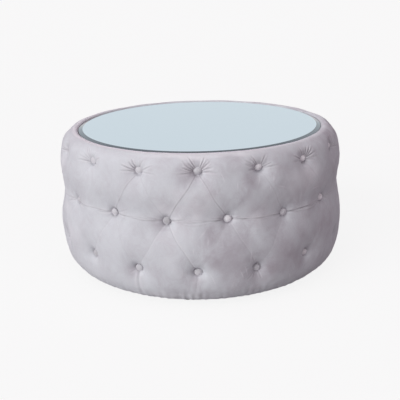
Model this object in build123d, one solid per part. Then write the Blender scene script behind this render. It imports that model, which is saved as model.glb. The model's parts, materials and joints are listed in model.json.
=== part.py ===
# Round ottoman coffee table: a drum covered in deep buttoned velvet, on low glides, with a bevelled
# mirror panel that lies loose in a recess in the top and lifts straight out.
# Millimetres, +Z up, origin on the floor under the middle of the drum, front towards -Y.
import os
from math import atan, atan2, cos, degrees, pi, radians, sin, sqrt

from build123d import *

# Mirror panel, from its polished face down
mirror_radius = 360.0
mirror_face_height = 409.0
glass_thickness = 6.0
bevel_width = 12.0
bevel_drop = 3.0
back_coat_thickness = 0.5
back_coat_inset = 1.5
mastic_thickness = 1.0
mastic_dab_radius = 32.0
mastic_ring_inset = 80.0
mastic_dab_count = 12
backing_thickness = 6.0
backing_inset = 8.0
pad_thickness = 4.0
pad_radius = 14.0
pad_ring_inset = 50.0
pad_count = 8

# Buttoning: columns of top and bottom buttons, with the middle row half a pitch round
button_columns = 16
panel_count = 4
top_row_drop = 39.0
middle_row_height = 243.0
bottom_row_height = 106.0
top_seat_foam = 14.0
middle_seat_foam = 23.0
bottom_seat_foam = 28.0
button_radius = 11.5
button_dome = 7.0
button_back_radius = 8.0
button_back_thickness = 4.0
tie_radius = 1.0
tie_bore_radius = 1.5
tie_grip = 2.5
knot_radius = 2.5
knot_sink = 0.1
toggle_radius = 6.0
toggle_thickness = 2.0

# Velvet cover
cover_thickness = 2.0
fabric_clearance = 0.3
mirror_gap = 1.0
crest_rise = 0.5
crest_run = 8.0
shoulder_foam = 30.0
shoulder_height = 27.0
hem_height = 8.0
hem_turn_in = 14.0
recess_turn_in = 17.0
waist_foam = 39.0
seat_half_width = 9.0
seat_half_height = 12.0
crease_half_height = 1.5
crease_spacing = 8.0
crease_lift = 25.0

# Bulge of each stretch of the outline: twice its rise over its chord. Where there are three, they
# are for a column of top buttons, for halfway along the creases and for a column of middle buttons
crest_bulge_share = 0.5
rim_bulge_shares = (0.39, 0.44, 0.45)
upper_bulge_shares = (0.34, 0.14, 0.15)
lower_bulge_shares = (0.315, 0.10, 0.15)
skirt_bulge_shares = (0.35, 0.22, 0.28)
hem_bulge_share = 0.277

# Timber frame
wall_thickness = 6.0
wall_top_drop = 7.0
wall_seam_gap = 0.5
deck_thickness = 12.0
base_thickness = 15.0
columns_per_upright = 2
upright_width = 40.0
upright_depth = 30.0
batten_width = 50.0
batten_thickness = 9.0

# Glides and dust cover
foot_radius = 15.0
foot_inset = 2.0
foot_edge_round = 1.0
foot_boss_radius = 8.0
foot_boss_clearance = 0.3
dust_cover_thickness = 1.0
dust_cover_lap = 3.0

# Fasteners
screw_radius = 2.0
screw_head_radius = 4.0
screw_head_height = 2.5
board_screw_length = 40.0
board_screw_spread = 14.0
board_screw_inset = 19.0
foot_screw_length = 20.0
foot_screw_recess = 1.5
staple_wire = 0.8
staple_crown = 10.0
staple_leg = 7.0
hem_staples_per_column = 2
hem_staple_inset = 8.0
recess_staple_inset = 8.0
dust_staple_inset = 1.5

# One overrun for every cut that runs out of a face, and how close in degrees a face's middle lies
# to the plane that it closes
cut_overrun = 20.0
end_plane_tolerance = 1e-4

# Heights and radii that follow from the values above
column_pitch = 360.0 / button_columns
half_pitch = column_pitch / 2
front_angle = -90.0
upright_angle = front_angle - half_pitch / 2
upright_count = button_columns // columns_per_upright
upright_pitch = columns_per_upright * column_pitch
crest_height = mirror_face_height + crest_rise
wall_top_height = mirror_face_height - wall_top_drop
top_row_height = mirror_face_height - top_row_drop
mastic_ring_radius = mirror_radius - mastic_ring_inset
pad_ring_radius = mirror_radius - pad_ring_inset
glass_bottom = mirror_face_height - glass_thickness
back_coat_bottom = glass_bottom - back_coat_thickness
mastic_bottom = back_coat_bottom - mastic_thickness
backing_bottom = mastic_bottom - backing_thickness
deck_top = backing_bottom - pad_thickness
deck_bottom = deck_top - deck_thickness
recess_radius = mirror_radius + mirror_gap
wall_inner_radius = recess_radius + cover_thickness + fabric_clearance
wall_outer_radius = wall_inner_radius + wall_thickness
foam_inner_radius = wall_outer_radius + fabric_clearance
foam_depth = cover_thickness + fabric_clearance
top_seat_radius = foam_inner_radius + top_seat_foam + foam_depth
middle_seat_radius = foam_inner_radius + middle_seat_foam + foam_depth
bottom_seat_radius = foam_inner_radius + bottom_seat_foam + foam_depth
waist_radius = foam_inner_radius + waist_foam + foam_depth
shoulder_radius = foam_inner_radius + shoulder_foam + foam_depth
base_bottom = hem_height + cover_thickness
base_top = base_bottom + base_thickness
hem_edge_radius = foam_inner_radius - hem_turn_in
recess_edge_radius = recess_radius - recess_turn_in
dust_cover_top = hem_height
dust_cover_bottom = dust_cover_top - dust_cover_thickness
dust_cover_radius = hem_edge_radius + dust_cover_lap
foot_ring_radius = wall_inner_radius - foot_radius - foot_inset
board_screw_ring = wall_inner_radius - board_screw_inset
hem_staple_radius = foam_inner_radius - hem_staple_inset
recess_staple_radius = recess_radius - recess_staple_inset
dust_staple_radius = dust_cover_radius - dust_staple_inset
seat_angle = degrees(atan2(seat_half_width, middle_seat_radius))


def between(share, first, last):
    """The value that lies the given share of the way from first to last."""
    return first + (last - first) * share


def along(share, first, middle, last):
    """The value at a share of the way from first through middle to last."""
    if share < 0.5:
        return between(2 * share, first, middle)
    return between(2 * share - 1, middle, last)


def polar(radius, angle, height):
    """A point at a radius and an angle in degrees round the drum."""
    return Vector(radius * cos(radians(angle)), radius * sin(radians(angle)), height)


def outward(radius, angle, height):
    """A place on the drum with local X along the radius, Y round it and Z up."""
    return Location(polar(radius, angle, height), (0, 0, angle))


def radial(radius, angle, height):
    """A place on the drum with local Z pointing out along the radius."""
    return outward(radius, angle, height) * Location((0, 0, 0), (0, 90, 0))


def disc(radius, bottom, top):
    """A round plate about the drum's axis."""
    return Pos(0, 0, bottom) * Cylinder(radius, top - bottom, align=(Align.CENTER, Align.CENTER, Align.MIN))


def post(radius, length):
    """A cylinder that stands on its own origin."""
    return Cylinder(radius, length, align=(Align.CENTER, Align.CENTER, Align.MIN))


def outline(turn):
    """Nodes of the cover's face in the plane at an angle from a column of top buttons.

    Each node is a radius, a height and the bulge of the stretch that leaves it. The two slanting
    creases run from a top or bottom button to the neighbouring middle button."""
    turn = abs(turn) if turn < half_pitch else abs(column_pitch - turn)
    slant = min(max((turn - seat_angle) / (half_pitch - 2 * seat_angle), 0), 1)
    outer_half = between(max(1 - 2 * slant, 0), crease_half_height, seat_half_height)
    waist_half = between(max(2 * slant - 1, 0), crease_half_height, seat_half_height)
    lift = crease_lift * sin(pi * slant)
    stop = seat_half_height + crease_spacing + crease_half_height
    top_height = between(slant, top_row_height, middle_row_height + stop)
    bottom_height = between(slant, bottom_row_height, middle_row_height - stop)
    top_radius = between(slant, top_seat_radius, middle_seat_radius) + lift
    bottom_radius = between(slant, bottom_seat_radius, middle_seat_radius) + lift
    waist = between(slant ** 3, waist_radius, middle_seat_radius)
    rim, upper, lower, skirt = [along(slant, *shares) for shares in (
        rim_bulge_shares, upper_bulge_shares, lower_bulge_shares, skirt_bulge_shares)]
    return [
        (recess_edge_radius, deck_top + cover_thickness, 0),
        (recess_radius, deck_top + cover_thickness, 0),
        (recess_radius, wall_top_height, crest_bulge_share),
        (recess_radius + crest_run, crest_height, rim),
        (top_radius, top_height + outer_half, 0),
        (top_radius, top_height - outer_half, upper),
        (waist, middle_row_height + waist_half, 0),
        (waist, middle_row_height - waist_half, lower),
        (bottom_radius, bottom_height + outer_half, 0),
        (bottom_radius, bottom_height - outer_half, skirt),
        (shoulder_radius, shoulder_height, hem_bulge_share),
        (foam_inner_radius, hem_height, 0),
        (hem_edge_radius, hem_height, 0),
    ]


def inset(nodes, depth):
    """The same outline, a depth further into the padding."""
    headings = []
    for (radius, height, bulge), (next_radius, next_height, _) in zip(nodes, nodes[1:]):
        chord = atan2(next_height - height, next_radius - radius)
        headings.append((chord + 2 * atan(bulge), chord - 2 * atan(bulge)))
    arriving = [headings[0][0]] + [pair[1] for pair in headings]
    leaving = [pair[0] for pair in headings] + [headings[-1][1]]
    moved = []
    for (radius, height, bulge), before, after in zip(nodes, arriving, leaving):
        reach = depth / (1 + cos(after - before))
        moved.append((radius + reach * (sin(before) + sin(after)),
                      height - reach * (cos(before) + cos(after)), bulge))
    return moved


def section(nodes, back, angle):
    """A closed wire: the nodes' stretches one way, the back nodes' the other, in one plane."""
    edges = []
    arriving = [bulge for _, _, bulge in back[-2::-1]] + [0]
    flipped = [(radius, height, -bulge) for (radius, height, _), bulge in zip(back[::-1], arriving)]
    ring = nodes[:-1] + [nodes[-1][:2] + (0,)] + flipped
    for (radius, height, bulge), (next_radius, next_height, _) in zip(ring, ring[1:] + ring[:1]):
        start = polar(radius, angle, height)
        end = polar(next_radius, angle, next_height)
        if bulge == 0:
            edges.append(Edge.make_line(start, end))
        else:
            rise_radius = (radius + next_radius - bulge * (next_height - height)) / 2
            rise_height = (height + next_height + bulge * (next_radius - radius)) / 2
            edges.append(Edge.make_three_point_arc(start, polar(rise_radius, angle, rise_height), end))
    return Wire(edges)


def cover_section(turn):
    """The velvet skin in one plane."""
    face = outline(turn)
    return section(face, inset(face, cover_thickness), front_angle + turn)


def foam_section(turn):
    """The foam in one plane: under the skin from the wall's top to its foot, and flat on the wall."""
    face = inset(outline(turn), foam_depth)[2:-1]
    return section(face, [(foam_inner_radius, wall_top_height, 0)], front_angle + turn)


def column_turns():
    """Angles of one column's sections: beside each button's seat and halfway along the creases."""
    middle = half_pitch / 2
    return [-middle, -seat_angle, seat_angle, middle,
            half_pitch - seat_angle, half_pitch + seat_angle, half_pitch + middle]


def tie_places():
    """Each row's name, height, seat radius and the turn of its first button."""
    return {
        "top": (top_row_height, top_seat_radius, 0),
        "middle": (middle_row_height, middle_seat_radius, half_pitch),
        "bottom": (bottom_row_height, bottom_seat_radius, 0),
    }


def tie_bores(columns=button_columns):
    """Bores for the twine, three to a column."""
    bores = []
    for height, seat, turn in tie_places().values():
        for column in range(columns):
            angle = front_angle + turn + column * column_pitch
            place = radial(wall_inner_radius - cut_overrun, angle, height)
            bores.append(place * post(tie_bore_radius, seat - wall_inner_radius + 2 * cut_overrun))
    return bores


def staple(angle, radius, height, up):
    """A wire staple with its crown on the fabric and its legs through it into the board."""
    crown = Box(staple_wire, staple_crown, staple_wire, align=(Align.CENTER, Align.CENTER, Align.MAX))
    leg = Box(staple_wire, staple_wire, staple_leg, align=(Align.CENTER, Align.CENTER, Align.MIN))
    offset = (staple_crown - staple_wire) / 2
    shape = crown + Pos(0, offset, 0) * leg + Pos(0, -offset, 0) * leg
    if not up:
        shape = Rot(180, 0, 0) * shape
    return outward(radius, angle, height) * shape


def column_staples(per_column, radius, height, up, columns):
    """Staples evenly round the drum, clear of the buttons' columns."""
    spacing = column_pitch / per_column
    first_turn = (spacing - half_pitch) / 2
    return [staple(front_angle + first_turn + step * spacing, radius, height, up)
            for step in range(columns * per_column)]


def hem_staples(columns=button_columns):
    """They hold the cover under the base board."""
    return column_staples(hem_staples_per_column, hem_staple_radius, hem_height, True, columns)


def recess_staples(columns=button_columns):
    """They hold the cover on the deck, under the mirror panel."""
    height = deck_top + cover_thickness
    return column_staples(hem_staples_per_column, recess_staple_radius, height, False, columns)


def dust_staples(columns=button_columns):
    """They hold the dust cover through the cover's flange into the base board."""
    return column_staples(1, dust_staple_radius, dust_cover_bottom, True, columns)


def panel_columns(number):
    """A panel's first column and how many columns it has."""
    first = round((number - 1) * button_columns / panel_count)
    return first, round(number * button_columns / panel_count) - first


def panel(sections, cuts, number):
    """One column lofted and bored, then repeated over a panel and sewn into one solid."""
    column = (Solid.make_loft(sections, ruled=True) - cuts).solid()
    turns = column_turns()
    sides, first_end, last_end = [], [], []
    for face in column.faces():
        middle = face.center()
        turn = degrees(atan2(middle.Y, middle.X)) - front_angle
        if face.geom_type == GeomType.PLANE and abs(turn - turns[0]) < end_plane_tolerance:
            first_end.append(face)
        elif face.geom_type == GeomType.PLANE and abs(turn - turns[-1]) < end_plane_tolerance:
            last_end.append(face)
        else:
            sides.append(face)
    first, columns = panel_columns(number)
    copies = [Rot(0, 0, index * column_pitch) * face for index in range(columns) for face in sides]
    copies += first_end + [Rot(0, 0, (columns - 1) * column_pitch) * face for face in last_end]
    start = first - button_columns // (2 * panel_count)
    return Rot(0, 0, start * column_pitch) * Solid(Shell(copies))


def velvet_panel(number):
    """One of the cover's panels, sewn to its neighbours in the creases."""
    cuts = tie_bores(1) + hem_staples(1) + recess_staples(1) + dust_staples(1)
    return panel([cover_section(turn) for turn in column_turns()], cuts, number)


def foam_panel(number):
    """One length of the foam on the wall."""
    return panel([foam_section(turn) for turn in column_turns()], tie_bores(1), number)


def wall_panel():
    """Bent ply round both boards, bored for the ties and open by a hair at its butt seam."""
    ring = disc(wall_outer_radius, base_bottom, wall_top_height)
    ring -= disc(wall_inner_radius, base_bottom, wall_top_height)
    height = wall_top_height - base_bottom
    seam = outward(wall_inner_radius, batten_angle(), base_bottom + height / 2)
    ring -= seam * Box(cut_overrun, wall_seam_gap, height)
    return ring - tie_bores()


def batten_angle():
    """The wall's seam is at the back, between a column of buttons and the next upright."""
    return front_angle + (button_columns // 2) * column_pitch + half_pitch / 2


def flat_radius(half_width):
    """How far out a flat piece of this half width can stand inside the wall."""
    return sqrt(wall_inner_radius ** 2 - half_width ** 2)


def wall_seam_batten():
    """A strip of ply glued over the wall's butt seam."""
    height = deck_bottom - base_top
    block = Box(batten_thickness, batten_width, height, align=(Align.MAX, Align.CENTER, Align.MIN))
    return outward(flat_radius(batten_width / 2), batten_angle(), base_top) * block


def upright_angles():
    """Each upright stands beside a column of buttons, clear of its ties."""
    return [upright_angle + index * upright_pitch for index in range(upright_count)]


def wood_screw(length):
    """A countersunk screw with its head's face on the origin, pointing up."""
    head = Cone(screw_head_radius, screw_radius, screw_head_height,
                align=(Align.CENTER, Align.CENTER, Align.MIN))
    return head + post(screw_radius, length)


def board_screws(height, up):
    """Two screws a post, through a board into the post's end."""
    screws = []
    for angle in upright_angles():
        for side in (-1, 1):
            screw = wood_screw(board_screw_length)
            if not up:
                screw = Rot(180, 0, 0) * screw
            place = outward(0, angle, 0) * Pos(board_screw_ring, side * board_screw_spread, height)
            screws.append(place * screw)
    return screws


def foot_screws():
    """One screw a glide, with its head in the glide's well."""
    screw = wood_screw(foot_screw_length)
    return [outward(foot_ring_radius, angle, foot_screw_recess) * screw for angle in upright_angles()]


def upright(angle, screws):
    """A post between the boards, drilled by its screws."""
    height = deck_bottom - base_top
    block = Box(upright_depth, upright_width, height, align=(Align.MAX, Align.CENTER, Align.MIN))
    return outward(flat_radius(upright_width / 2), angle, base_top) * block - screws


def foot(angle, screws):
    """A round glide with a boss that passes the dust cover and meets the base board."""
    glide = post(foot_radius, dust_cover_bottom)
    glide = fillet(glide.faces().sort_by(Axis.Z)[0].edges(), foot_edge_round)
    boss = Pos(0, 0, dust_cover_bottom) * post(foot_boss_radius, base_bottom - dust_cover_bottom)
    well = post(screw_head_radius, foot_screw_recess)
    return outward(foot_ring_radius, angle, 0) * (glide + boss - well) - screws


def base_board(screws):
    """The round board inside the wall's foot."""
    return disc(wall_inner_radius, base_bottom, base_top) - screws - hem_staples() - dust_staples()


def deck_board(screws):
    """The round board that the mirror panel lies on."""
    return disc(wall_inner_radius, deck_bottom, deck_top) - screws - recess_staples()


def dust_cover():
    """A thin sheet under the base, with a hole round each glide's boss."""
    sheet = disc(dust_cover_radius, dust_cover_bottom, dust_cover_top)
    holes = [outward(foot_ring_radius, angle, 0) * post(foot_boss_radius + foot_boss_clearance, base_bottom)
             for angle in upright_angles()]
    return sheet - holes - dust_staples()


def button_dome_shape():
    """A covered button's face: a shallow dome over a flat back."""
    sphere_radius = (button_radius ** 2 + button_dome ** 2) / (2 * button_dome)
    cap = Pos(0, 0, button_dome - sphere_radius) * Sphere(sphere_radius)
    return cap & post(button_radius, button_dome)


def row_places(row, offset):
    """Places of a row's buttons, the given distance out from the buttons' seats."""
    height, seat, turn = tie_places()[row]
    return [radial(seat + offset, front_angle + turn + column * column_pitch, height)
            for column in range(button_columns)]


def buttons(row):
    """The covered faces of a row's buttons."""
    shape = button_dome_shape()
    return [place * shape for place in row_places(row, fabric_clearance + button_back_thickness)]


def button_backs(row):
    """The plate behind each button, with a blind bore where the twine is tied in."""
    plate = post(button_back_radius, button_back_thickness) - post(tie_radius, tie_grip)
    return [place * plate for place in row_places(row, fabric_clearance)]


def button_ties(row):
    """Twine from the button's plate through cover, foam and wall to a knot behind the toggle."""
    seat = tie_places()[row][1]
    inner_end = flat_radius(toggle_radius) - toggle_thickness
    length = seat + fabric_clearance + tie_grip - inner_end + knot_radius
    knot = Pos(0, 0, knot_sink) * Sphere(knot_radius)
    twine = post(tie_radius, length) + knot
    return [place * twine for place in row_places(row, inner_end - knot_radius - seat)]


def tie_toggles(row):
    """The washers inside the wall that a row's twine is knotted behind."""
    inner_face = flat_radius(toggle_radius) - toggle_thickness
    plate = post(toggle_radius, toggle_thickness) - post(tie_bore_radius, toggle_thickness)
    return [place * plate for place in row_places(row, inner_face - tie_places()[row][1])]


def mirror_glass():
    """A disc of glass with a wide ground bevel round its face."""
    edge = mirror_face_height - bevel_drop
    profile = Polyline((0, 0, glass_bottom), (mirror_radius, 0, glass_bottom), (mirror_radius, 0, edge),
                       (mirror_radius - bevel_width, 0, mirror_face_height), (0, 0, mirror_face_height),
                       close=True)
    return revolve(make_face(profile), Axis.Z)


def ring_of_discs(count, ring_radius, radius, bottom, thickness):
    """Thin round pads evenly round the drum's axis."""
    return [outward(ring_radius, front_angle + index * 360.0 / count, bottom) * post(radius, thickness)
            for index in range(count)]


def write(name, shape):
    """Write one node: a solid, or several separate ones as a group."""
    solids = shape if isinstance(shape, list) else [shape]
    parts = [solid for item in solids for solid in item.solids()]
    node = parts[0] if len(parts) == 1 else Compound(children=parts)
    node.label = name
    export_step(node, os.path.join("parts", name + ".step"))


def build():
    """Write every node."""
    os.makedirs("parts", exist_ok=True)
    base_screws = board_screws(base_bottom, True)
    deck_screws = board_screws(deck_top, False)
    glide_screws = foot_screws()
    for number in range(1, panel_count + 1):
        write(f"velvet_panel_{number}", velvet_panel(number))
        write(f"foam_panel_{number}", foam_panel(number))
    write("wall_panel", wall_panel())
    write("wall_seam_batten", wall_seam_batten())
    write("base_board", base_board(base_screws + glide_screws))
    write("deck_board", deck_board(deck_screws))
    write("base_screws", base_screws)
    write("deck_screws", deck_screws)
    write("foot_screws", glide_screws)
    for number, angle in enumerate(upright_angles(), start=1):
        write(f"upright_{number}", upright(angle, base_screws + deck_screws))
        write(f"foot_{number}", foot(angle, glide_screws))
    write("dust_cover", dust_cover())
    write("hem_staples", hem_staples())
    write("recess_staples", recess_staples())
    write("dust_cover_staples", dust_staples())
    for row in tie_places():
        write(f"buttons_{row}_row", buttons(row))
        write(f"button_backs_{row}_row", button_backs(row))
        write(f"button_ties_{row}_row", button_ties(row))
        write(f"tie_toggles_{row}_row", tie_toggles(row))
    write("mirror_glass", mirror_glass())
    write("mirror_back_coat", disc(mirror_radius - back_coat_inset, back_coat_bottom, glass_bottom))
    write("mirror_mastic", ring_of_discs(
        mastic_dab_count, mastic_ring_radius, mastic_dab_radius, mastic_bottom, mastic_thickness))
    write("backing_board", disc(mirror_radius - backing_inset, backing_bottom, mastic_bottom))
    write("seat_pads", ring_of_discs(pad_count, pad_ring_radius, pad_radius, deck_top, pad_thickness))


build()
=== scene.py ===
# %% [markdown]
# # A tufted velvet ottoman table with a mirror top
#
# The table is a drum of ply and foam under one tight velvet skin, pulled in by three rows of covered
# buttons, and a bevelled mirror lies loose in its top. The timber, the fasteners, the glides and the
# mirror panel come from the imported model. This script dresses the soft parts as meshes, because their
# look is in folds that a solid modeller draws badly, and gives every surface its finish.

# %% Load the fixed frame
import json

import bmesh
import bpy
import numpy as np
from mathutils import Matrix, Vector
from mathutils.geometry import delaunay_2d_cdt


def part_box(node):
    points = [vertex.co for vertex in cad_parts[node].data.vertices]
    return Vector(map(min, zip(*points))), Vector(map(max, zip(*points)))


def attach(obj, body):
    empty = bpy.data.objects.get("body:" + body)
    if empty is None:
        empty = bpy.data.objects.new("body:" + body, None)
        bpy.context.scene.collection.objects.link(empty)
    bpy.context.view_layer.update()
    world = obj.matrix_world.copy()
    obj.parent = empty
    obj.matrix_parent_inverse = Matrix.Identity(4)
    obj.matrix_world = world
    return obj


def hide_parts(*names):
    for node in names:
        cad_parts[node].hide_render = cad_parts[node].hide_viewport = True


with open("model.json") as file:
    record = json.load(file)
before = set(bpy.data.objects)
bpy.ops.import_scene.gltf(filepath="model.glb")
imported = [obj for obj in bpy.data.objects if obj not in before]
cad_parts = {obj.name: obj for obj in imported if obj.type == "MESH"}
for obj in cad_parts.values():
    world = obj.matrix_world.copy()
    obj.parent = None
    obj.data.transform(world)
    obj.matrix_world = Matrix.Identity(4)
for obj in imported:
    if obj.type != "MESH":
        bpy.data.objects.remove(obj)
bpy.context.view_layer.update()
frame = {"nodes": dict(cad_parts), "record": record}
nodes = frame["nodes"]
rng = np.random.default_rng(7)
print("frame loaded:", len(nodes), "nodes")

# %% [markdown]
# ## The sizes that the drum hands over
#
# Each size that the soft parts must meet is read from the frame, so that the skin sits where the
# boards and the buttons are. The columns of buttons start at the front, which faces -Y. No upholsterer
# pulls every twine alike, so each button is then shifted by a few millimetres, across and up. The
# front ones are listed by column, as the photograph shows them, and the others go by chance.

# %% Sizes read from the frame
BUTTON_COLUMNS = 16
COLUMN_PITCH = 2 * np.pi / BUTTON_COLUMNS
FRONT = -np.pi / 2


def node_points(node):
    """The points of a node's mesh, one to a row."""
    points = np.empty(len(nodes[node].data.vertices) * 3)
    nodes[node].data.vertices.foreach_get("co", points)
    return points.reshape(-1, 3)


def reach(node):
    """The greatest distance from the drum's axis to a point of the node."""
    return float(np.hypot(*node_points(node)[:, :2].T).max())


def short_turn(turn):
    """The same turn counted the short way, between minus and plus half a circle."""
    return (turn + np.pi) % (2 * np.pi) - np.pi


def first_seam():
    """The angle at which the cover's front panel begins."""
    points = node_points("velvet_panel_1")
    return FRONT + float(short_turn(np.arctan2(points[:, 1], points[:, 0]) - FRONT).min())


MIRROR_RADIUS = reach("mirror_glass")
DECK_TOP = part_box("deck_board")[1].z
WALL_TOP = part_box("wall_panel")[1].z
WALL_RADIUS = reach("wall_panel")
HEM_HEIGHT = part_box("velvet_panel_1")[0].z
print("mirror radius", round(MIRROR_RADIUS, 4), "wall radius", round(WALL_RADIUS, 4))

# %% Where each button sits
CHANCE_SHIFT = 2.5
BUTTON_SHIFTS = {
    "top": {-3: (4, 0), -2: (6, 2.5), -1: (5.5, -2), 0: (2.5, 1.5), 1: (4, 0), 2: (-5, -1), 3: (-7, 0)},
    "middle": {-3: (5, 3), -2: (6, 4), -1: (0, -2), 0: (-2.5, 2), 1: (-3, -4), 2: (-2, -1)},
    "bottom": {-2: (4.5, 6), -1: (-1.5, -1.5), 0: (-1.5, -2.5), 1: (-6, -4), 2: (-6, 1.5)},
}


def column_place(column):
    """A column's number counted from the front: positive to the right, negative to the left."""
    return column if column < BUTTON_COLUMNS / 2 else column - BUTTON_COLUMNS


ROWS = {}
for row, turn in (("top", 0.0), ("middle", COLUMN_PITCH / 2), ("bottom", 0.0)):
    low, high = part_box(f"buttons_{row}_row")
    ROWS[row] = {
        "height": (low.z + high.z) / 2,
        "crest": reach(f"buttons_{row}_row"),
        "angles": FRONT + turn + COLUMN_PITCH * np.arange(BUTTON_COLUMNS),
    }
    by_hand = BUTTON_SHIFTS[row]
    shifts = [by_hand.get(column_place(column), tuple(rng.uniform(-CHANCE_SHIFT, CHANCE_SHIFT, 2)))
              for column in range(BUTTON_COLUMNS)]
    across, up = np.array(shifts).T / 1000
    ROWS[row]["angles"] += across / ROWS[row]["crest"]
    ROWS[row]["heights"] = ROWS[row]["height"] + up
print({row: (round(facts["height"], 4), round(facts["crest"], 4)) for row, facts in ROWS.items()})

# %% [markdown]
# ## Camera
#
# The photograph looks a little down on the table from just under two metres, with a slight roll. The
# place, the tilt and the lens were fitted to the mirror's edge, the outline and the buttons. A camera
# that is aimed by angles keeps the roll plain to read.

# %% Camera at the photograph's angle
CAMERA_DISTANCE = 1.951
CAMERA_HEIGHT = 0.820
CAMERA_TURN = np.radians(1.4)
CAMERA_PITCH = np.radians(18.59)
CAMERA_ROLL = np.radians(1.32)
CAMERA_LENS = 59.08
CAMERA_SHIFT = (-0.0027, -0.0011)


def stand(name, data):
    """An object for a mesh, a lamp or a camera, linked into the scene."""
    made = bpy.data.objects.new(name, data)
    bpy.context.scene.collection.objects.link(made)
    return made


def place_camera():
    """Stand the camera at its distance, look in and down, then roll."""
    data = bpy.data.cameras.new("camera")
    data.lens = CAMERA_LENS
    data.shift_x, data.shift_y = CAMERA_SHIFT
    camera = stand("camera", data)
    angle = FRONT + CAMERA_TURN
    out = Vector((np.cos(angle), np.sin(angle), 0))
    camera.location = out * CAMERA_DISTANCE + Vector((0, 0, CAMERA_HEIGHT))
    look = -out * np.cos(CAMERA_PITCH) - Vector((0, 0, np.sin(CAMERA_PITCH)))
    camera.rotation_euler = look.to_track_quat("-Z", "Y").to_euler()
    camera.rotation_euler.rotate_axis("Z", -CAMERA_ROLL)
    bpy.context.scene.camera = camera
    return camera


camera = place_camera()
print("camera at", tuple(round(c, 3) for c in camera.location))

# %% [markdown]
# ## Node tools
#
# Every finish here is a small graph of nodes. A tiny helper that adds a node, feeds its inputs and
# hands on what comes out keeps each graph readable as a list of steps.

# %% Helper for node graphs


class Graph:
    """Adds nodes to one tree, with their inputs fed by name or by number."""

    def __init__(self, tree):
        self.tree = tree

    def feed(self, value, socket):
        """Link another node's output to the socket, or set the socket's own value."""
        if isinstance(value, bpy.types.NodeSocket):
            self.tree.links.new(value, socket)
        else:
            socket.default_value = value

    def node(self, kind, settings=None, **inputs):
        made = self.tree.nodes.new("ShaderNode" + kind)
        for name, value in (settings or {}).items():
            setattr(made, name, value)
        for name, value in inputs.items():
            self.feed(value, made.inputs[name.replace("_", " ")])
        return made

    def result(self, kind, settings, inputs, output=0):
        """A node for what comes out of it, its inputs given by number or full name."""
        made = self.node(kind, settings)
        for socket, value in inputs.items():
            self.feed(value, made.inputs[socket])
        return made.outputs[output]

    def math(self, operation, first, second=0.0):
        return self.result("Math", {"operation": operation}, {0: first, 1: second})

    def blend(self, share, first, second):
        return self.result("Mix", {"data_type": "RGBA"}, {0: share, 6: first, 7: second}, 2)

    def blend_shaders(self, share, first, second):
        return self.result("MixShader", {}, {0: share, 1: first, 2: second})

    def spread(self, value, low, high, first, last):
        return self.result("MapRange", {}, {
            "Value": value, "From Min": low, "From Max": high, "To Min": first, "To Max": last})

    def noise(self, vector, scale, detail=3.0, roughness=0.55):
        made = self.node("TexNoise", Vector=vector, Scale=scale, Detail=detail, Roughness=roughness)
        return made.outputs["Fac"]

    def stretched(self, vector, scale):
        return self.node("Mapping", Vector=vector, Scale=scale).outputs[0]


print("node helper ready")

# %% [markdown]
# ## Floor and light
#
# The table stands on a plain white floor that runs out to a white horizon. A broad, low sun from the
# left models the folds, as a large soft window does, and a weaker one from above whitens the rolled
# rim. Eyes and mirrors see a paler world than the cloth does, so Light Path picks between the two: the
# floor shows the camera mostly its own white and only part of its shade, it throws little light back
# up, and the sky that mirrors see is white at the horizon and blue grey above.

# %% Floor
FLOOR_REACH = 60.0
FLOOR_PAINT = (0.92, 0.92, 0.92, 1)
FLOOR_FELT = (0.36, 0.355, 0.36, 1)
FLOOR_SEEN = (0.965, 0.965, 0.965, 1)
FLOOR_SEEN_SHARE = 0.90


def seen_ray(graph):
    """One for rays that an eye, a mirror or a glass sends, and zero for light falling on things."""
    path = graph.node("LightPath")
    total = path.outputs["Is Camera Ray"]
    for kind in ("Is Glossy Ray", "Is Transmission Ray"):
        total = graph.math("MAXIMUM", total, path.outputs[kind])
    return total


def build_floor():
    mesh = bpy.data.meshes.new("floor")
    corners = [(-1, -1, 0), (1, -1, 0), (1, 1, 0), (-1, 1, 0)]
    mesh.from_pydata([tuple(FLOOR_REACH * c for c in corner) for corner in corners], [], [(0, 1, 2, 3)])
    floor = stand("floor", mesh)
    material = bpy.data.materials.new("floor_paint")
    material.use_nodes = True
    tree = material.node_tree
    graph = Graph(tree)
    seen = seen_ray(graph)
    paint = tree.nodes["Principled BSDF"]
    graph.feed(graph.blend(seen, FLOOR_FELT, FLOOR_PAINT), paint.inputs["Base Color"])
    paint.inputs["Roughness"].default_value = 1.0
    paint.inputs["Specular IOR Level"].default_value = 0.0
    glow = graph.node("Emission", Color=FLOOR_SEEN)
    share = graph.math("MULTIPLY", seen, FLOOR_SEEN_SHARE)
    surface = graph.blend_shaders(share, paint.outputs[0], glow.outputs[0])
    graph.feed(surface, tree.nodes["Material Output"].inputs["Surface"])
    mesh.materials.append(material)


build_floor()
print("floor", 2 * FLOOR_REACH, "m across")

# %% Sky
SHADE_COLOUR = (0.270, 0.208, 0.242, 1)
HORIZON_COLOUR = (0.925, 0.925, 0.925, 1)
ROOM_COLOUR = (0.64, 0.72, 0.77, 1)
CEILING_COLOUR = (0.50, 0.55, 0.60, 1)
SKY_STOPS = [(0.0, HORIZON_COLOUR), (0.05, HORIZON_COLOUR), (0.16, ROOM_COLOUR), (1.0, CEILING_COLOUR)]


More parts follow.
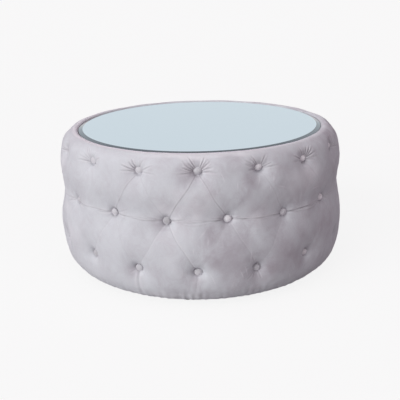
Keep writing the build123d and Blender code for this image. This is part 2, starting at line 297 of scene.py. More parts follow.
def build_sky():
    """A plain shade that lights things, and for eyes and mirrors a ramp from the horizon up."""
    world = bpy.data.worlds.new("sky")
    bpy.context.scene.world = world
    world.use_nodes = True
    world.node_tree.nodes.clear()
    graph = Graph(world.node_tree)
    place = graph.node("SeparateXYZ", Vector=graph.node("TexCoord").outputs["Generated"])
    ramp = graph.node("ValToRGB", Fac=place.outputs["Z"])
    for index, (height, colour) in enumerate(SKY_STOPS):
        stop = ramp.color_ramp.elements[index] if index < 2 else ramp.color_ramp.elements.new(height)
        stop.position, stop.color = height, colour
    seen = graph.node("Background", Color=ramp.outputs["Color"])
    felt = graph.node("Background", Color=SHADE_COLOUR)
    surface = graph.blend_shaders(seen_ray(graph), felt.outputs[0], seen.outputs[0])
    graph.node("OutputWorld", Surface=surface)


build_sky()
print("sky with", len(SKY_STOPS), "stops")

# %% Suns
SUNS = {
    "window_sun": {"azimuth": -138, "height": 20, "spread": 50, "strength": 2.20},
    "ceiling_sun": {"azimuth": -85, "height": 70, "spread": 80, "strength": 0.86},
}


def build_sun(name, azimuth, height, spread, strength):
    data = bpy.data.lights.new(name, "SUN")
    data.energy, data.angle = strength, np.radians(spread)
    turn, climb = np.radians(azimuth), np.radians(height)
    towards = Vector((np.cos(turn) * np.cos(climb), np.sin(turn) * np.cos(climb), np.sin(climb)))
    stand(name, data).rotation_euler = (-towards).to_track_quat("-Z", "Y").to_euler()


for name, facts in SUNS.items():
    build_sun(name, **facts)
bpy.context.scene.view_settings.view_transform = "Standard"
print(len(SUNS), "suns")

# %% [markdown]
# ## Shared effects
#
# Four effects serve several materials: the brushed nap of pile cloth, the grain of timber, the smears
# and dust of things that are handled, and the weave of twine, felt and spun cloth. Each is a node group
# with named sockets, built once and placed in each material with its own values.

# %% Helpers for node groups


def new_group(name, inputs, outputs):
    """An empty node group with float or colour sockets, its graph and its two ends."""
    tree = bpy.data.node_groups.new(name, "ShaderNodeTree")
    for socket, value in inputs.items():
        kind = "NodeSocketColor" if isinstance(value, tuple) else "NodeSocketFloat"
        tree.interface.new_socket(socket, in_out="INPUT", socket_type=kind).default_value = value
    for socket, kind in outputs.items():
        tree.interface.new_socket(socket, in_out="OUTPUT", socket_type="NodeSocket" + kind)
    return tree, Graph(tree), tree.nodes.new("NodeGroupInput"), tree.nodes.new("NodeGroupOutput")


def object_place(graph):
    return graph.node("TexCoord").outputs["Object"]


# %% [markdown]
# ### Brushed nap
#
# Velvet is dense upright pile. Where a hand has brushed it, the pile leans, and the patch looks lighter
# or darker from one side. Photographs of it show soft patches of a few centimetres, streaks where the
# cloth was stroked, fine brush marks, and a speckle of pile ends. A noise at each of those scales gives
# it, and a slow swirl bends the streaks and the brush marks. The group also puts out the soft patches
# by themselves, and the pile's height for a bump.

# %% Nap group
SWIRL_SCALE = 7.0
SWIRL_BEND = 0.30
STREAK_SCALE = 38.0
BRUSH_SCALE = 270.0
PATCH_CONTRAST = (0.36, 0.68)
STREAK_CONTRAST = (0.38, 0.66)
FINE_CONTRAST = (0.3, 0.7)
SPECKLE_SHARE = 0.12
BRUSH_SHARE = 0.16
NAP_ROUGHNESS = (0.95, 0.75)


def build_nap_group():
    tree, graph, ends, out = new_group(
        "brushed_nap",
        {"Pile": (0.5, 0.5, 0.5, 1), "Leaning": (0.4, 0.4, 0.4, 1), "Patch Scale": 9.0,
         "Patch Share": 0.6, "Pile Scale": 900.0},
        {"Colour": "Color", "Height": "Float", "Roughness": "Float", "Patches": "Float"})
    place = object_place(graph)
    patches = graph.noise(place, ends.outputs["Patch Scale"], 5.0, 0.65)
    patches = graph.spread(patches, *PATCH_CONTRAST, 0.0, 1.0)
    graph.feed(patches, out.inputs["Patches"])
    swirl = graph.node("TexNoise", Vector=place, Scale=SWIRL_SCALE, Detail=2.0).outputs["Color"]
    bent = graph.result("VectorMath", {"operation": "MULTIPLY_ADD"},
                        {0: swirl, 1: 3 * (SWIRL_BEND,), 2: place})
    streaks = graph.noise(graph.stretched(bent, (1.0, 1.0, 0.62)), STREAK_SCALE, 5.0, 0.68)
    streaks = graph.spread(streaks, *STREAK_CONTRAST, 0.0, 1.0)
    speckle = graph.noise(place, ends.outputs["Pile Scale"], 2.0, 0.7)
    lean = graph.math("ADD", graph.math("MULTIPLY", patches, 0.5), graph.math("MULTIPLY", streaks, 0.5))
    lean = graph.math("MULTIPLY", lean, ends.outputs["Patch Share"])
    lean = graph.math("ADD", lean, graph.spread(speckle, *FINE_CONTRAST, -SPECKLE_SHARE, SPECKLE_SHARE))
    brushed = graph.noise(graph.stretched(bent, (1.0, 1.0, 0.55)), BRUSH_SCALE, 3.0, 0.75)
    lean = graph.math("ADD", lean, graph.spread(brushed, *FINE_CONTRAST, -BRUSH_SHARE, BRUSH_SHARE))
    graph.feed(graph.blend(lean, ends.outputs["Pile"], ends.outputs["Leaning"]), out.inputs["Colour"])
    graph.feed(graph.math("ADD", speckle, graph.math("MULTIPLY", streaks, 0.6)), out.inputs["Height"])
    graph.feed(graph.spread(lean, 0.0, 1.0, *NAP_ROUGHNESS), out.inputs["Roughness"])
    return tree


NAP = build_nap_group()
print("group", NAP.name)

# %% [markdown]
# ### Timber grain
#
# Ply and hardboard are seen only inside and from below, yet each face should read as wood: long
# streaks along one axis, slow swirls across them and small dark pores. A stretched noise bends a band
# pattern, which is cheaper than ring geometry and holds up close.

# %% Grain group
GRAIN_STRETCH = (1.0, 7.0, 1.0)
GRAIN_BANDS = 9.0
PORE_STRETCH = (120.0, 900.0, 120.0)
PORE_CONTRAST = (0.6, 0.75)
GRAIN_ROUGHNESS = (0.55, 0.75)


def build_grain_group():
    tree, graph, ends, out = new_group(
        "timber_grain",
        {"Light": (0.6, 0.45, 0.3, 1), "Dark": (0.4, 0.28, 0.16, 1), "Scale": 14.0},
        {"Colour": "Color", "Height": "Float", "Roughness": "Float"})
    place = object_place(graph)
    long_way = graph.stretched(place, GRAIN_STRETCH)
    swirl = graph.noise(long_way, ends.outputs["Scale"], 5.0, 0.6)
    bands = graph.math("FRACT", graph.math("MULTIPLY", swirl, GRAIN_BANDS))
    bands = graph.math("ABSOLUTE", graph.math("SUBTRACT", bands, 0.5))
    pores = graph.noise(graph.stretched(place, PORE_STRETCH), 1.0, 2.0, 0.5)
    pores = graph.spread(pores, *PORE_CONTRAST, 0.0, 1.0)
    tone = graph.math("ADD", graph.math("MULTIPLY", bands, 1.2), graph.math("MULTIPLY", pores, 0.4))
    graph.feed(graph.blend(tone, ends.outputs["Light"], ends.outputs["Dark"]), out.inputs["Colour"])
    graph.feed(graph.math("SUBTRACT", bands, pores), out.inputs["Height"])
    graph.feed(graph.spread(tone, 0.0, 1.0, *GRAIN_ROUGHNESS), out.inputs["Roughness"])
    return tree


GRAIN = build_grain_group()
print("group", GRAIN.name)

# %% [markdown]
# ### Handling marks
#
# Plastic, steel and glass carry faint smears, dust and fine scratches. The group gives one mask of
# dust, one of smears and a height of scratches, and each material decides how much of them to show.

# %% Marks group
SMEAR_CONTRAST = (0.45, 0.75)
SPECK_SCALE = 1400.0
SPECK_CONTRAST = (0.62, 0.75)
FINE_SCRATCHES = (40.0, 1500.0, 40.0)


def build_marks_group():
    tree, graph, ends, out = new_group(
        "handling_marks", {"Scale": 20.0, "Dust Share": 0.3},
        {"Dust": "Float", "Smear": "Float", "Height": "Float"})
    place = object_place(graph)
    smear = graph.noise(place, ends.outputs["Scale"], 5.0, 0.65)
    smear = graph.spread(smear, *SMEAR_CONTRAST, 0.0, 1.0)
    speck = graph.spread(graph.noise(place, SPECK_SCALE, 1.0, 0.5), *SPECK_CONTRAST, 0.0, 1.0)
    scratches = graph.noise(graph.stretched(place, FINE_SCRATCHES), 1.0, 2.0, 0.5)
    dust = graph.math("MULTIPLY", graph.math("MULTIPLY", speck, smear), ends.outputs["Dust Share"])
    graph.feed(dust, out.inputs["Dust"])
    graph.feed(smear, out.inputs["Smear"])
    graph.feed(scratches, out.inputs["Height"])
    return tree


MARKS = build_marks_group()
print("group", MARKS.name)

# %% [markdown]
# ### Plain weave
#
# Twine, felt and the spun cloth under the base are thin fibres crossing each other. Two wave patterns
# at right angles make the crossing, and a noise breaks them up so that no thread is straight.

# %% Weave group
THREAD_WANDER = 1.5
THIN_PLACES = (0.6, 1.0)


def build_weave_group():
    tree, graph, ends, out = new_group(
        "plain_weave",
        {"Thread": (0.5, 0.5, 0.5, 1), "Gap": (0.2, 0.2, 0.2, 1), "Threads": 900.0},
        {"Colour": "Color", "Height": "Float"})
    place = object_place(graph)
    uneven = graph.spread(graph.noise(place, 60.0, 3.0, 0.6), *FINE_CONTRAST, *THIN_PLACES)
    heights = []
    for direction in ("X", "Y"):
        wave = graph.node("TexWave", {"bands_direction": direction}, Vector=place,
                          Scale=ends.outputs["Threads"], Distortion=THREAD_WANDER)
        heights.append(wave.outputs["Fac"])
    cross = graph.math("MULTIPLY", graph.math("MAXIMUM", *heights), uneven)
    graph.feed(graph.blend(cross, ends.outputs["Gap"], ends.outputs["Thread"]), out.inputs["Colour"])
    graph.feed(cross, out.inputs["Height"])
    return tree


WEAVE = build_weave_group()
print("group", WEAVE.name)

# %% [markdown]
# ## Finishes
#
# One function makes a material with a group already placed, and each finish then says in a few lines
# what it does with the group's outputs. The constants of a finish sit on the shader's own sockets.

# %% Material helper


def finish(name, group, group_values, constants=None, bump=None):
    """A Principled material with a group in it; returns material, graph, group node and shader."""
    material = bpy.data.materials.new(name)
    material.use_nodes = True
    graph = Graph(material.node_tree)
    shader = material.node_tree.nodes["Principled BSDF"]
    placed = graph.node("Group", {"node_tree": group})
    for socket, value in group_values.items():
        placed.inputs[socket].default_value = value
    if "Colour" in placed.outputs:
        graph.feed(placed.outputs["Colour"], shader.inputs["Base Color"])
    if "Roughness" in placed.outputs:
        graph.feed(placed.outputs["Roughness"], shader.inputs["Roughness"])
    for socket, value in (constants or {}).items():
        shader.inputs[socket].default_value = value
    if bump:
        strength, distance = bump
        bumped = graph.node("Bump", Height=placed.outputs["Height"], Strength=strength, Distance=distance)
        graph.feed(bumped.outputs["Normal"], shader.inputs["Normal"])
    return material, graph, placed, shader


# %% [markdown]
# ### Velvet
#
# The cloth is a pale lavender grey that turns mauve in patches where the pile leans. Sheen gives the
# light bloom that velvet has at glancing angles. Shade is painted dark into the grooves of folds and
# pleats, in rings round the buttons and in the tucks of the hem, and highlights are painted pale on the
# lips beside the grooves, on the crest and on the recess wall; the same pale marks the scratches in the
# pile. Masks that are stored on the mesh say where, and two more say where the nap is stroked one way
# or the other, partly brushed nap and partly painted light and shade, and where it lies calm. The
# buttons are cut from the same cloth, each with its nap in its own direction, so some look paler than
# others, and at the front that paleness and darkness is painted highlight and painted shade.

# %% Velvet finishes
VELVET_PILE = (0.630, 0.659, 0.688, 1)
VELVET_LEANING = (0.528, 0.524, 0.560, 1)
BUTTON_PILE = (0.595, 0.605, 0.625, 1)
BUTTON_LEANING = (0.515, 0.515, 0.535, 1)
# A button's tone runs to pale for a painted highlight and to dim for painted shade at the front, and by
# chance elsewhere.
BUTTON_PALE_AND_HIGHLIGHT = (0.930, 0.925, 0.940, 1)
BUTTON_DIM_AND_SHADE = (0.325, 0.330, 0.335, 1)
SHEEN = {"Sheen Weight": 0.35, "Sheen Roughness": 0.45, "Sheen Tint": (0.95, 0.93, 1.0, 1),
         "Specular IOR Level": 0.15}
BUTTON_SHEEN = SHEEN | {"Sheen Weight": 1.0, "Sheen Roughness": 0.6}
# Painted shade for the grooves of folds and pleats, the rings round the buttons and the tucks of the hem.
PAINTED_SHADE_COLOUR = (0.280, 0.268, 0.290, 1)
# Painted highlight for the lips of folds and pleats, the crest and the recess wall, and the pale of
# scratches.
HIGHLIGHT_AND_SCRATCH_COLOUR = (0.860, 0.850, 0.885, 1)
# Pale and mauve nap, also used as painted highlight and painted shade.
PALE_NAP_AND_HIGHLIGHT = (0.830, 0.835, 0.865, 1)
MAUVE_NAP_AND_SHADE = (0.388, 0.358, 0.396, 1)
STROKE_BREAK = (0.30, 1.50)
RUFFLE_SHARE = (0.45, 1.45)


def mask(graph, name):
    """A mask that is stored on the mesh, point by point."""
    return graph.node("Attribute", {"attribute_name": name}).outputs["Fac"]


def stroke_ways(graph, way, colour, up, down):
    """The colour where a way is nought, turning to up towards one and to down towards minus one."""
    colour = graph.blend(graph.spread(way, 0.0, 1.0, 0.0, 1.0), colour, up)
    return graph.blend(graph.spread(way, 0.0, -1.0, 0.0, 1.0), colour, down)


velvet, graph, nap, shader = finish(
    "velvet", NAP, {"Pile": VELVET_PILE, "Leaning": VELVET_LEANING, "Patch Scale": 13.0},
    SHEEN, (0.35, 0.0006))
graph.feed(graph.spread(mask(graph, "ruffled"), 0.0, 1.0, *RUFFLE_SHARE), nap.inputs["Patch Share"])
way = graph.math("MULTIPLY", mask(graph, "skin_nap_and_painted_light"),
                 graph.spread(nap.outputs["Patches"], 0.0, 1.0, *STROKE_BREAK))
tone = stroke_ways(graph, way, nap.outputs["Colour"], PALE_NAP_AND_HIGHLIGHT, MAUVE_NAP_AND_SHADE)
# Painted highlights, then painted shade, go over the cloth's own tone.
tone = graph.blend(mask(graph, "highlight_and_scratches"), tone, HIGHLIGHT_AND_SCRATCH_COLOUR)
tone = graph.blend(mask(graph, "painted_shade"), tone, PAINTED_SHADE_COLOUR)
graph.feed(tone, shader.inputs["Base Color"])
print("velvet for the cover")

# %% Velvet of the buttons
button_velvet, graph, nap, shader = finish(
    "button_velvet", NAP, {"Pile": BUTTON_PILE, "Leaning": BUTTON_LEANING, "Patch Scale": 40.0},
    BUTTON_SHEEN, (0.3, 0.0005))
tone = stroke_ways(graph, mask(graph, "button_nap_and_painted_light"), nap.outputs["Colour"], BUTTON_PALE_AND_HIGHLIGHT, BUTTON_DIM_AND_SHADE)
graph.feed(tone, shader.inputs["Base Color"])
print("velvet for the buttons")

# %% [markdown]
# ### Silvered glass and its ground bevel
#
# The flat of the mirror returns the room. The bevel doesn't look like mirror in the photograph: its
# near half is slate dark and its far half is white. That slate is a painted dark reflection: the bevel
# is told apart by its distance from the middle, loses its metal there and takes a slate base colour.
# The shader's own Fresnel and a clear coat over the slate make it bright where one skims it.

# %% Mirror finish
MIRROR_TINT = (0.93, 0.96, 0.98, 1)
# A slate base colour that paints the dark reflection into the bevel.
BEVEL_PAINTED_DARK_REFLECTION = (0.055, 0.066, 0.086, 1)
BEVEL_WIDTH = 0.0120
BEVEL_COAT = 0.6
BEVEL_ARRIS = 0.0004
GLASS = {"IOR": 1.52, "Specular IOR Level": 0.6, "Coat IOR": 1.6, "Coat Roughness": 0.04}
GLASS_ROUGHNESS = (0.035, 0.06)

mirror, graph, marks, shader = finish("mirror", MARKS, {"Scale": 6.0, "Dust Share": 0.5}, GLASS)
place = graph.node("SeparateXYZ", Vector=object_place(graph))
across = graph.node("CombineXYZ", X=place.outputs["X"], Y=place.outputs["Y"])
distance = graph.result("VectorMath", {"operation": "LENGTH"}, {0: across.outputs[0]}, "Value")
edge = MIRROR_RADIUS - BEVEL_WIDTH
bevel = graph.spread(distance, edge - BEVEL_ARRIS, edge + BEVEL_ARRIS, 0.0, 1.0)
graph.feed(graph.blend(bevel, MIRROR_TINT, BEVEL_PAINTED_DARK_REFLECTION), shader.inputs["Base Color"])
graph.feed(graph.math("SUBTRACT", 1.0, bevel), shader.inputs["Metallic"])
graph.feed(graph.math("MULTIPLY", bevel, BEVEL_COAT), shader.inputs["Coat Weight"])
graph.feed(graph.spread(marks.outputs["Smear"], 0.0, 1.0, *GLASS_ROUGHNESS), shader.inputs["Roughness"])
print("mirror finish made")

# %% [markdown]
# ### The hidden and half-hidden materials
#
# Ply, foam, twine, steel, plastic and paint show when the mirror is lifted, from below, or on a bench.
# Two tables hold them by the record's material slots. A row of the first is a name, a group, the
# group's values, the shader's constants, and the strength and depth of a bump. A row of the second is a
# name, a clean and a dusty colour, and the roughness where it is clean and where it is smeared.

# %% Timber, foam, twine and cloth
SPUN_FINISHES = {
    "plywood": ("ply", GRAIN, {"Light": (0.62, 0.47, 0.30, 1), "Dark": (0.47, 0.33, 0.19, 1)},
                {}, (0.25, 0.0006)),
    "hardboard": ("hardboard", GRAIN, {"Light": (0.20, 0.125, 0.07, 1), "Dark": (0.13, 0.08, 0.045, 1),
                                       "Scale": 60.0}, {}, (0.2, 0.0004)),
    "foam": ("foam", NAP, {"Pile": (0.72, 0.66, 0.47, 1), "Leaning": (0.60, 0.52, 0.33, 1),
                           "Patch Scale": 25.0, "Pile Scale": 500.0}, {}, (0.6, 0.001)),
    "twine": ("twine", WEAVE, {"Thread": (0.62, 0.58, 0.47, 1), "Gap": (0.35, 0.31, 0.23, 1)},
              {"Roughness": 0.8}, (0.5, 0.0004)),
    "dust_cloth": ("dust_cloth", WEAVE, {"Thread": (0.030, 0.030, 0.032, 1),
                                         "Gap": (0.010, 0.010, 0.011, 1), "Threads": 260.0},
                   {"Roughness": 0.85}, (0.4, 0.0004)),
    "felt": ("felt", WEAVE, {"Thread": (0.060, 0.058, 0.060, 1), "Gap": (0.025, 0.024, 0.026, 1),
                             "Threads": 500.0}, {"Roughness": 0.95, "Sheen Weight": 0.4}, (0.6, 0.0005)),
}
finish_by_slot = {"velvet": velvet, "mirror": mirror}
for slot, facts in SPUN_FINISHES.items():
    finish_by_slot[slot] = finish(*facts)[0]
print(len(SPUN_FINISHES), "finishes with grain, nap or weave")

# %% Plastic, steel, paint and mastic
MARKED_FINISHES = {
    "black_plastic": ("black_plastic", (0.012, 0.012, 0.013, 1), (0.16, 0.15, 0.14, 1), (0.32, 0.5)),
    "plastic_white": ("white_plastic", (0.72, 0.71, 0.68, 1), (0.5, 0.48, 0.45, 1), (0.35, 0.55)),
    "steel": ("steel", (0.56, 0.56, 0.57, 1), (0.30, 0.29, 0.27, 1), (0.22, 0.42), {"Metallic": 1.0}, 80.0),
    "back_paint": ("back_paint", (0.16, 0.165, 0.18, 1), (0.26, 0.25, 0.24, 1), (0.45, 0.65)),
    "mastic": ("mastic", (0.62, 0.61, 0.58, 1), (0.45, 0.43, 0.40, 1), (0.5, 0.7)),
}


def marked_finish(name, clean, dusty, roughness, constants=None, scale=30.0):
    """One colour under dust, with smears in the roughness."""
    material, graph, marks, shader = finish(name, MARKS, {"Scale": scale}, constants, (0.12, 0.0003))
    graph.feed(graph.blend(marks.outputs["Dust"], clean, dusty), shader.inputs["Base Color"])
    graph.feed(graph.spread(marks.outputs["Smear"], 0.0, 1.0, *roughness), shader.inputs["Roughness"])
    return material


for slot, facts in MARKED_FINISHES.items():
    finish_by_slot[slot] = marked_finish(*facts)
print(len(MARKED_FINISHES), "finishes with dust and smears")

# %% [markdown]
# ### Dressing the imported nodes
#
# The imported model's pieces keep their shapes and only take a finish, by the material slot that the
# record gives to each node.

# %% Dress the carried-over nodes
slot_of = {part["node"]: part["material_slot"] for part in frame["record"]["subparts"]}
for name, node in nodes.items():
    node.data.materials.clear()
    node.data.materials.append(finish_by_slot[slot_of[name]])
print("finishes on", len(nodes), "nodes")

# %% [markdown]
# ## The skin's outline
#
# Before any button pulls it in, the skin is a turned shape: up the recess wall, over a rolled rim, down
# a side that swells above and below a slight waist, and under the hem. Its outline is a list of points
# chosen from the photograph's silhouette, joined by a smooth curve. A curve that is measured by
# its length gives an even net of vertices over flat and rolled stretches alike.

# %% Outline of the skin
OUTLINE = [
    (0.3480, 0.3940), (0.3580, 0.3942), (0.3607, 0.3972), (0.3609, 0.4045), (0.3630, 0.4083),
    (0.3685, 0.4100), (0.3775, 0.4099), (0.3880, 0.4053), (0.3993, 0.3962), (0.4079, 0.3794),
    (0.4136, 0.3564), (0.4171, 0.3300), (0.4175, 0.3050), (0.4155, 0.2800), (0.4145, 0.2580),
    (0.4159, 0.2340), (0.4193, 0.2080), (0.4233, 0.1800), (0.4256, 0.1480), (0.4258, 0.1150),
    (0.4230, 0.0820), (0.4156, 0.0518), (0.4056, 0.0314), (0.3944, 0.0196), (0.3836, 0.0128),
    (0.3735, 0.0100), (0.3640, 0.0086), (0.3570, 0.0080),
]
SAMPLES_PER_SPAN = 40


def smooth_curve(points):
    """A Catmull-Rom curve through the points, finely sampled."""
    points = np.array(points)
    padded = np.vstack([2 * points[0] - points[1], points, 2 * points[-1] - points[-2]])
    t = np.linspace(0, 1, SAMPLES_PER_SPAN, endpoint=False)[:, None]
    spans = []
    for a, b, c, d in zip(padded, padded[1:], padded[2:], padded[3:]):
        spans.append(0.5 * (2 * b + (c - a) * t + (2 * a - 5 * b + 4 * c - d) * t ** 2
                            + (3 * b - a - 3 * c + d) * t ** 3))
    return np.vstack(spans + [points[-1:]])


curve = smooth_curve(OUTLINE)
curve_length = np.concatenate([[0], np.cumsum(np.hypot(*np.diff(curve, axis=0).T))])


def outline_at(length):
    """Radius, height and the outward normal's two parts at a length along the outline."""
    radius = np.interp(length, curve_length, curve[:, 0])
    height = np.interp(length, curve_length, curve[:, 1])
    slope = np.gradient(curve, axis=0)
    slope /= np.hypot(*slope.T)[:, None]
    normal_radius = np.interp(length, curve_length, -slope[:, 1])
    normal_height = np.interp(length, curve_length, slope[:, 0])
    return radius, height, normal_radius, normal_height


crest_length = curve_length[np.argmax(curve[:, 1])]
outer = curve_length > crest_length


def length_at_height(height):
    """How far along the outline the outer face passes a height."""
    order = np.argsort(curve[outer, 1])
    return float(np.interp(height, curve[outer, 1][order], curve_length[outer][order]))


print("outline", round(curve_length[-1], 4), "m long, crest at", round(crest_length, 4))

# %% [markdown]
# ## Tufting as a field
#
# The buttons pull dimples, fine folds run from button to button, and fans of pleats gather the spare
# cloth at the rim and the hem. All of it is one field of heights over the unrolled skin: angle one way,
# length of outline the other. A field is easy to add to, fold by fold, each in a small window, and a
# fold can follow any slanted line, which loops of geometry could not without a new topology.

# %% The unrolled skin
STEPS_PER_COLUMN = 104
ANGLE_STEPS = BUTTON_COLUMNS * STEPS_PER_COLUMN
PLEAT_STEP = 0.0017
FINE_STEP = 0.0023
COARSE_STEP = 0.0045
FINE_FROM = length_at_height(0.4092)  # just outside the crest
PLEATS_TO = length_at_height(0.3300)  # where the rim's fans of pleats end
FINE_TO = length_at_height(0.0120)  # where the skin has turned under

angles = first_seam() + 2 * np.pi * np.arange(ANGLE_STEPS) / ANGLE_STEPS
lengths = np.concatenate([
    np.linspace(0, FINE_FROM, int(FINE_FROM / COARSE_STEP) + 2)[:-1],
    np.linspace(FINE_FROM, PLEATS_TO, int((PLEATS_TO - FINE_FROM) / PLEAT_STEP))[:-1],
    np.linspace(PLEATS_TO, FINE_TO, int((FINE_TO - PLEATS_TO) / FINE_STEP)),
    np.linspace(FINE_TO, curve_length[-1], int((curve_length[-1] - FINE_TO) / COARSE_STEP) + 2)[1:],
])
radii, heights, normal_r, normal_z = outline_at(lengths)
field = np.zeros((ANGLE_STEPS, len(lengths)))
painted_shade = np.zeros_like(field)
highlight_and_scratches = np.zeros_like(field)
print("net of", field.shape, "=", field.size, "points")

# %% The net's points, and windows on it


def skin_points():
    """The whole skin as a grid of points and of normals."""
    radius = radii + normal_r * field
    height = heights + normal_z * field
    turn = angles[:, None]
    points = np.stack([radius * np.cos(turn), radius * np.sin(turn), height], axis=-1)
    around = np.roll(points, -1, axis=0) - np.roll(points, 1, axis=0)
    down = np.gradient(points, axis=1)
    normals = np.cross(down, around)
    return points, normals / np.linalg.norm(normals, axis=-1, keepdims=True)


class Window:
    """The part of the net within a distance of a point, with its own flat coordinates in metres."""

    def __init__(self, angle, length, size):
        radius = float(np.interp(length, lengths, radii))
        turn = short_turn(angles - angle)
        self.columns = np.flatnonzero(np.abs(turn) * radius < size)
        self.rows = np.flatnonzero(np.abs(lengths - length) < size)
        self.across = (turn[self.columns] * radius)[:, None]
        self.up = (length - lengths[self.rows])[None, :]

    def turned(self, cosine, sine):
        """How far each point lies along a heading and beside it."""
        return self.across * cosine + self.up * sine, self.up * cosine - self.across * sine

    def raise_skin(self, height):
        field[np.ix_(self.columns, self.rows)] += height

    def mark(self, mask, share):
        place = np.ix_(self.columns, self.rows)
        mask[place] = np.maximum(mask[place], np.clip(share, 0, 1))


# %% [markdown]
# ### Dimples
#
# Each button's twine draws the foam in to a flat seat, with a steep well round it and a wide soft slope
# beyond. Two cusps of different widths add up to that. Every dimple is skewed a little, and a thin ring
# of painted shade is marked where the button's edge meets the pile.

# %% Dimples
DIMPLE_REACH = 0.115
DIMPLE_SKEW = 0.12
DIMPLE_CHANCE = (0.85, 1.15)
DIMPLE_FLOOR = 0.0095
DIMPLE_SPREAD = 0.0195
WELL_SPREAD = 0.0060
WELL_SHARE = 0.36
DIMPLE_POWER = 1.05
BUTTON_DOME = 0.0062
BUTTON_RADIUS = 0.0108
SEAT_GAP = 0.0006
RING_SHADE = 0.42
RING_WIDTH = 0.0022
row_length = {row: length_at_height(facts["height"]) for row, facts in ROWS.items()}
for facts in ROWS.values():
    facts["places"] = [(float(angle), length_at_height(height))
                       for angle, height in zip(facts["angles"], facts["heights"])]


def seat_depth(row):
    """How far the skin must sink at a button for the button's flat back to lie on it."""
    surface = np.interp(row_length[row], lengths, radii)
    return float(surface - (ROWS[row]["crest"] - BUTTON_DOME - SEAT_GAP))


def funnel(distance, spread):
    """One at the middle, flat over the floor, a steep well round the button and a wide soft slope."""
    out = np.clip(distance - DIMPLE_FLOOR, 0, None)
    well, slope = (np.exp(-(out / width) ** DIMPLE_POWER) for width in (WELL_SPREAD, spread))
    return WELL_SHARE * well + (1 - WELL_SHARE) * slope


for row, facts in ROWS.items():
    for angle, length in facts["places"]:
        window = Window(angle, length, DIMPLE_REACH)
        lean = rng.uniform(-DIMPLE_SKEW, DIMPLE_SKEW, 2)
        skewed = np.hypot(window.across * (1 + lean[0]), window.up * (1 + lean[1]))
        spread = DIMPLE_SPREAD * rng.uniform(*DIMPLE_CHANCE)
        window.raise_skin(-seat_depth(row) * funnel(skewed, spread))
        # A thin ring of painted shade round the button.
        window.mark(painted_shade, RING_SHADE * np.exp(-((skewed - BUTTON_RADIUS) / RING_WIDTH) ** 2))
print("dimples", {row: round(seat_depth(row) * 1000, 1) for row in ROWS}, "mm deep")

# %% [markdown]
# ### Let the cloth settle
#
# Between the buttons the foam pushes the velvet out and the twine holds it in, and no formula gives the
# uneven, tight swell that follows. So a coarse copy of the skin is given to the cloth solver: it is held
# at the rim, at the hem and under each button, the foam's push is a little pressure, and the cloth is
# cut slightly long. Only its movement along the normals comes back, capped and smoothed, and the fine
# net takes it.

# %% A coarse cloth and what holds it
HELD_RADIUS = 0.012
HELD_MARGIN = 0.012


def held_places():
    """One where the twine and the staples of the rim and the hem hold the cloth."""
    held = np.zeros_like(field)
    for row, facts in ROWS.items():
        for angle, length in facts["places"]:
            window = Window(angle, length, HELD_RADIUS)
            window.mark(held, np.hypot(window.across, window.up) < HELD_RADIUS)
    held[:, lengths < FINE_FROM + HELD_MARGIN] = 1
    held[:, lengths > FINE_TO - HELD_MARGIN] = 1
    return held


def coarse_cloth(columns, rows):
    """A ring of quads through every few points of the skin, as an object."""
    points, normals = skin_points()
    coarse = points[np.ix_(columns, rows)]
    index = np.arange(coarse.shape[0] * coarse.shape[1]).reshape(coarse.shape[:2])
    here, after = index, np.roll(index, -1, axis=0)
    faces = np.stack([here[:, :-1], here[:, 1:], after[:, 1:], after[:, :-1]], axis=-1).reshape(-1, 4)
    mesh = bpy.data.meshes.new("settling_cloth")
    mesh.from_pydata(coarse.reshape(-1, 3), [], faces.tolist())
    return stand("settling_cloth", mesh), coarse, normals[np.ix_(columns, rows)]


print(int(held_places().sum()), "points held")

# %% The cloth solver
SETTLE_FRAMES = 20
CLOTH_SETTINGS = {
    "quality": 6, "mass": 0.3, "tension_stiffness": 12, "compression_stiffness": 12,
    "shear_stiffness": 4, "bending_stiffness": 0.8, "vertex_group_mass": "held",
    "use_pressure": True, "uniform_pressure_force": 1.4, "shrink_min": -0.004,
}


def run_cloth(cloth, held):
    """Give the object a Cloth modifier, run it and return where its points end."""
    group = cloth.vertex_groups.new(name="held")
    group.add(np.flatnonzero(held.reshape(-1) > 0.5).tolist(), 1.0, "REPLACE")
    modifier = cloth.modifiers.new("settle", "CLOTH")
    modifier.point_cache.frame_end = SETTLE_FRAMES
    for name, value in CLOTH_SETTINGS.items():
        setattr(modifier.settings, name, value)
    modifier.settings.effector_weights.gravity = 0
    modifier.collision_settings.use_collision = False
    for step in range(1, SETTLE_FRAMES + 1):
        bpy.context.scene.frame_set(step)
    settled = cloth.evaluated_get(bpy.context.evaluated_depsgraph_get()).data
    ends = np.empty(len(settled.vertices) * 3)
    settled.vertices.foreach_get("co", ends)
    bpy.context.scene.frame_set(1)
    return ends.reshape(held.shape + (3,))


# %% Swell the skin between its buttons
SETTLE_STRIDE = 4
SETTLE_CAP = 0.0025


def smoothed(grid, width, times=3):
    """Running means along both ways of the net; it closes on itself round the drum."""
    for _ in range(times):
        grid = sum(np.roll(grid, step, axis=0) for step in range(-width, width + 1)) / (2 * width + 1)
        edged = np.pad(grid, ((0, 0), (width, width)), mode="edge")
        grid = sum(edged[:, step:step + grid.shape[1]] for step in range(2 * width + 1)) / (2 * width + 1)
    return grid


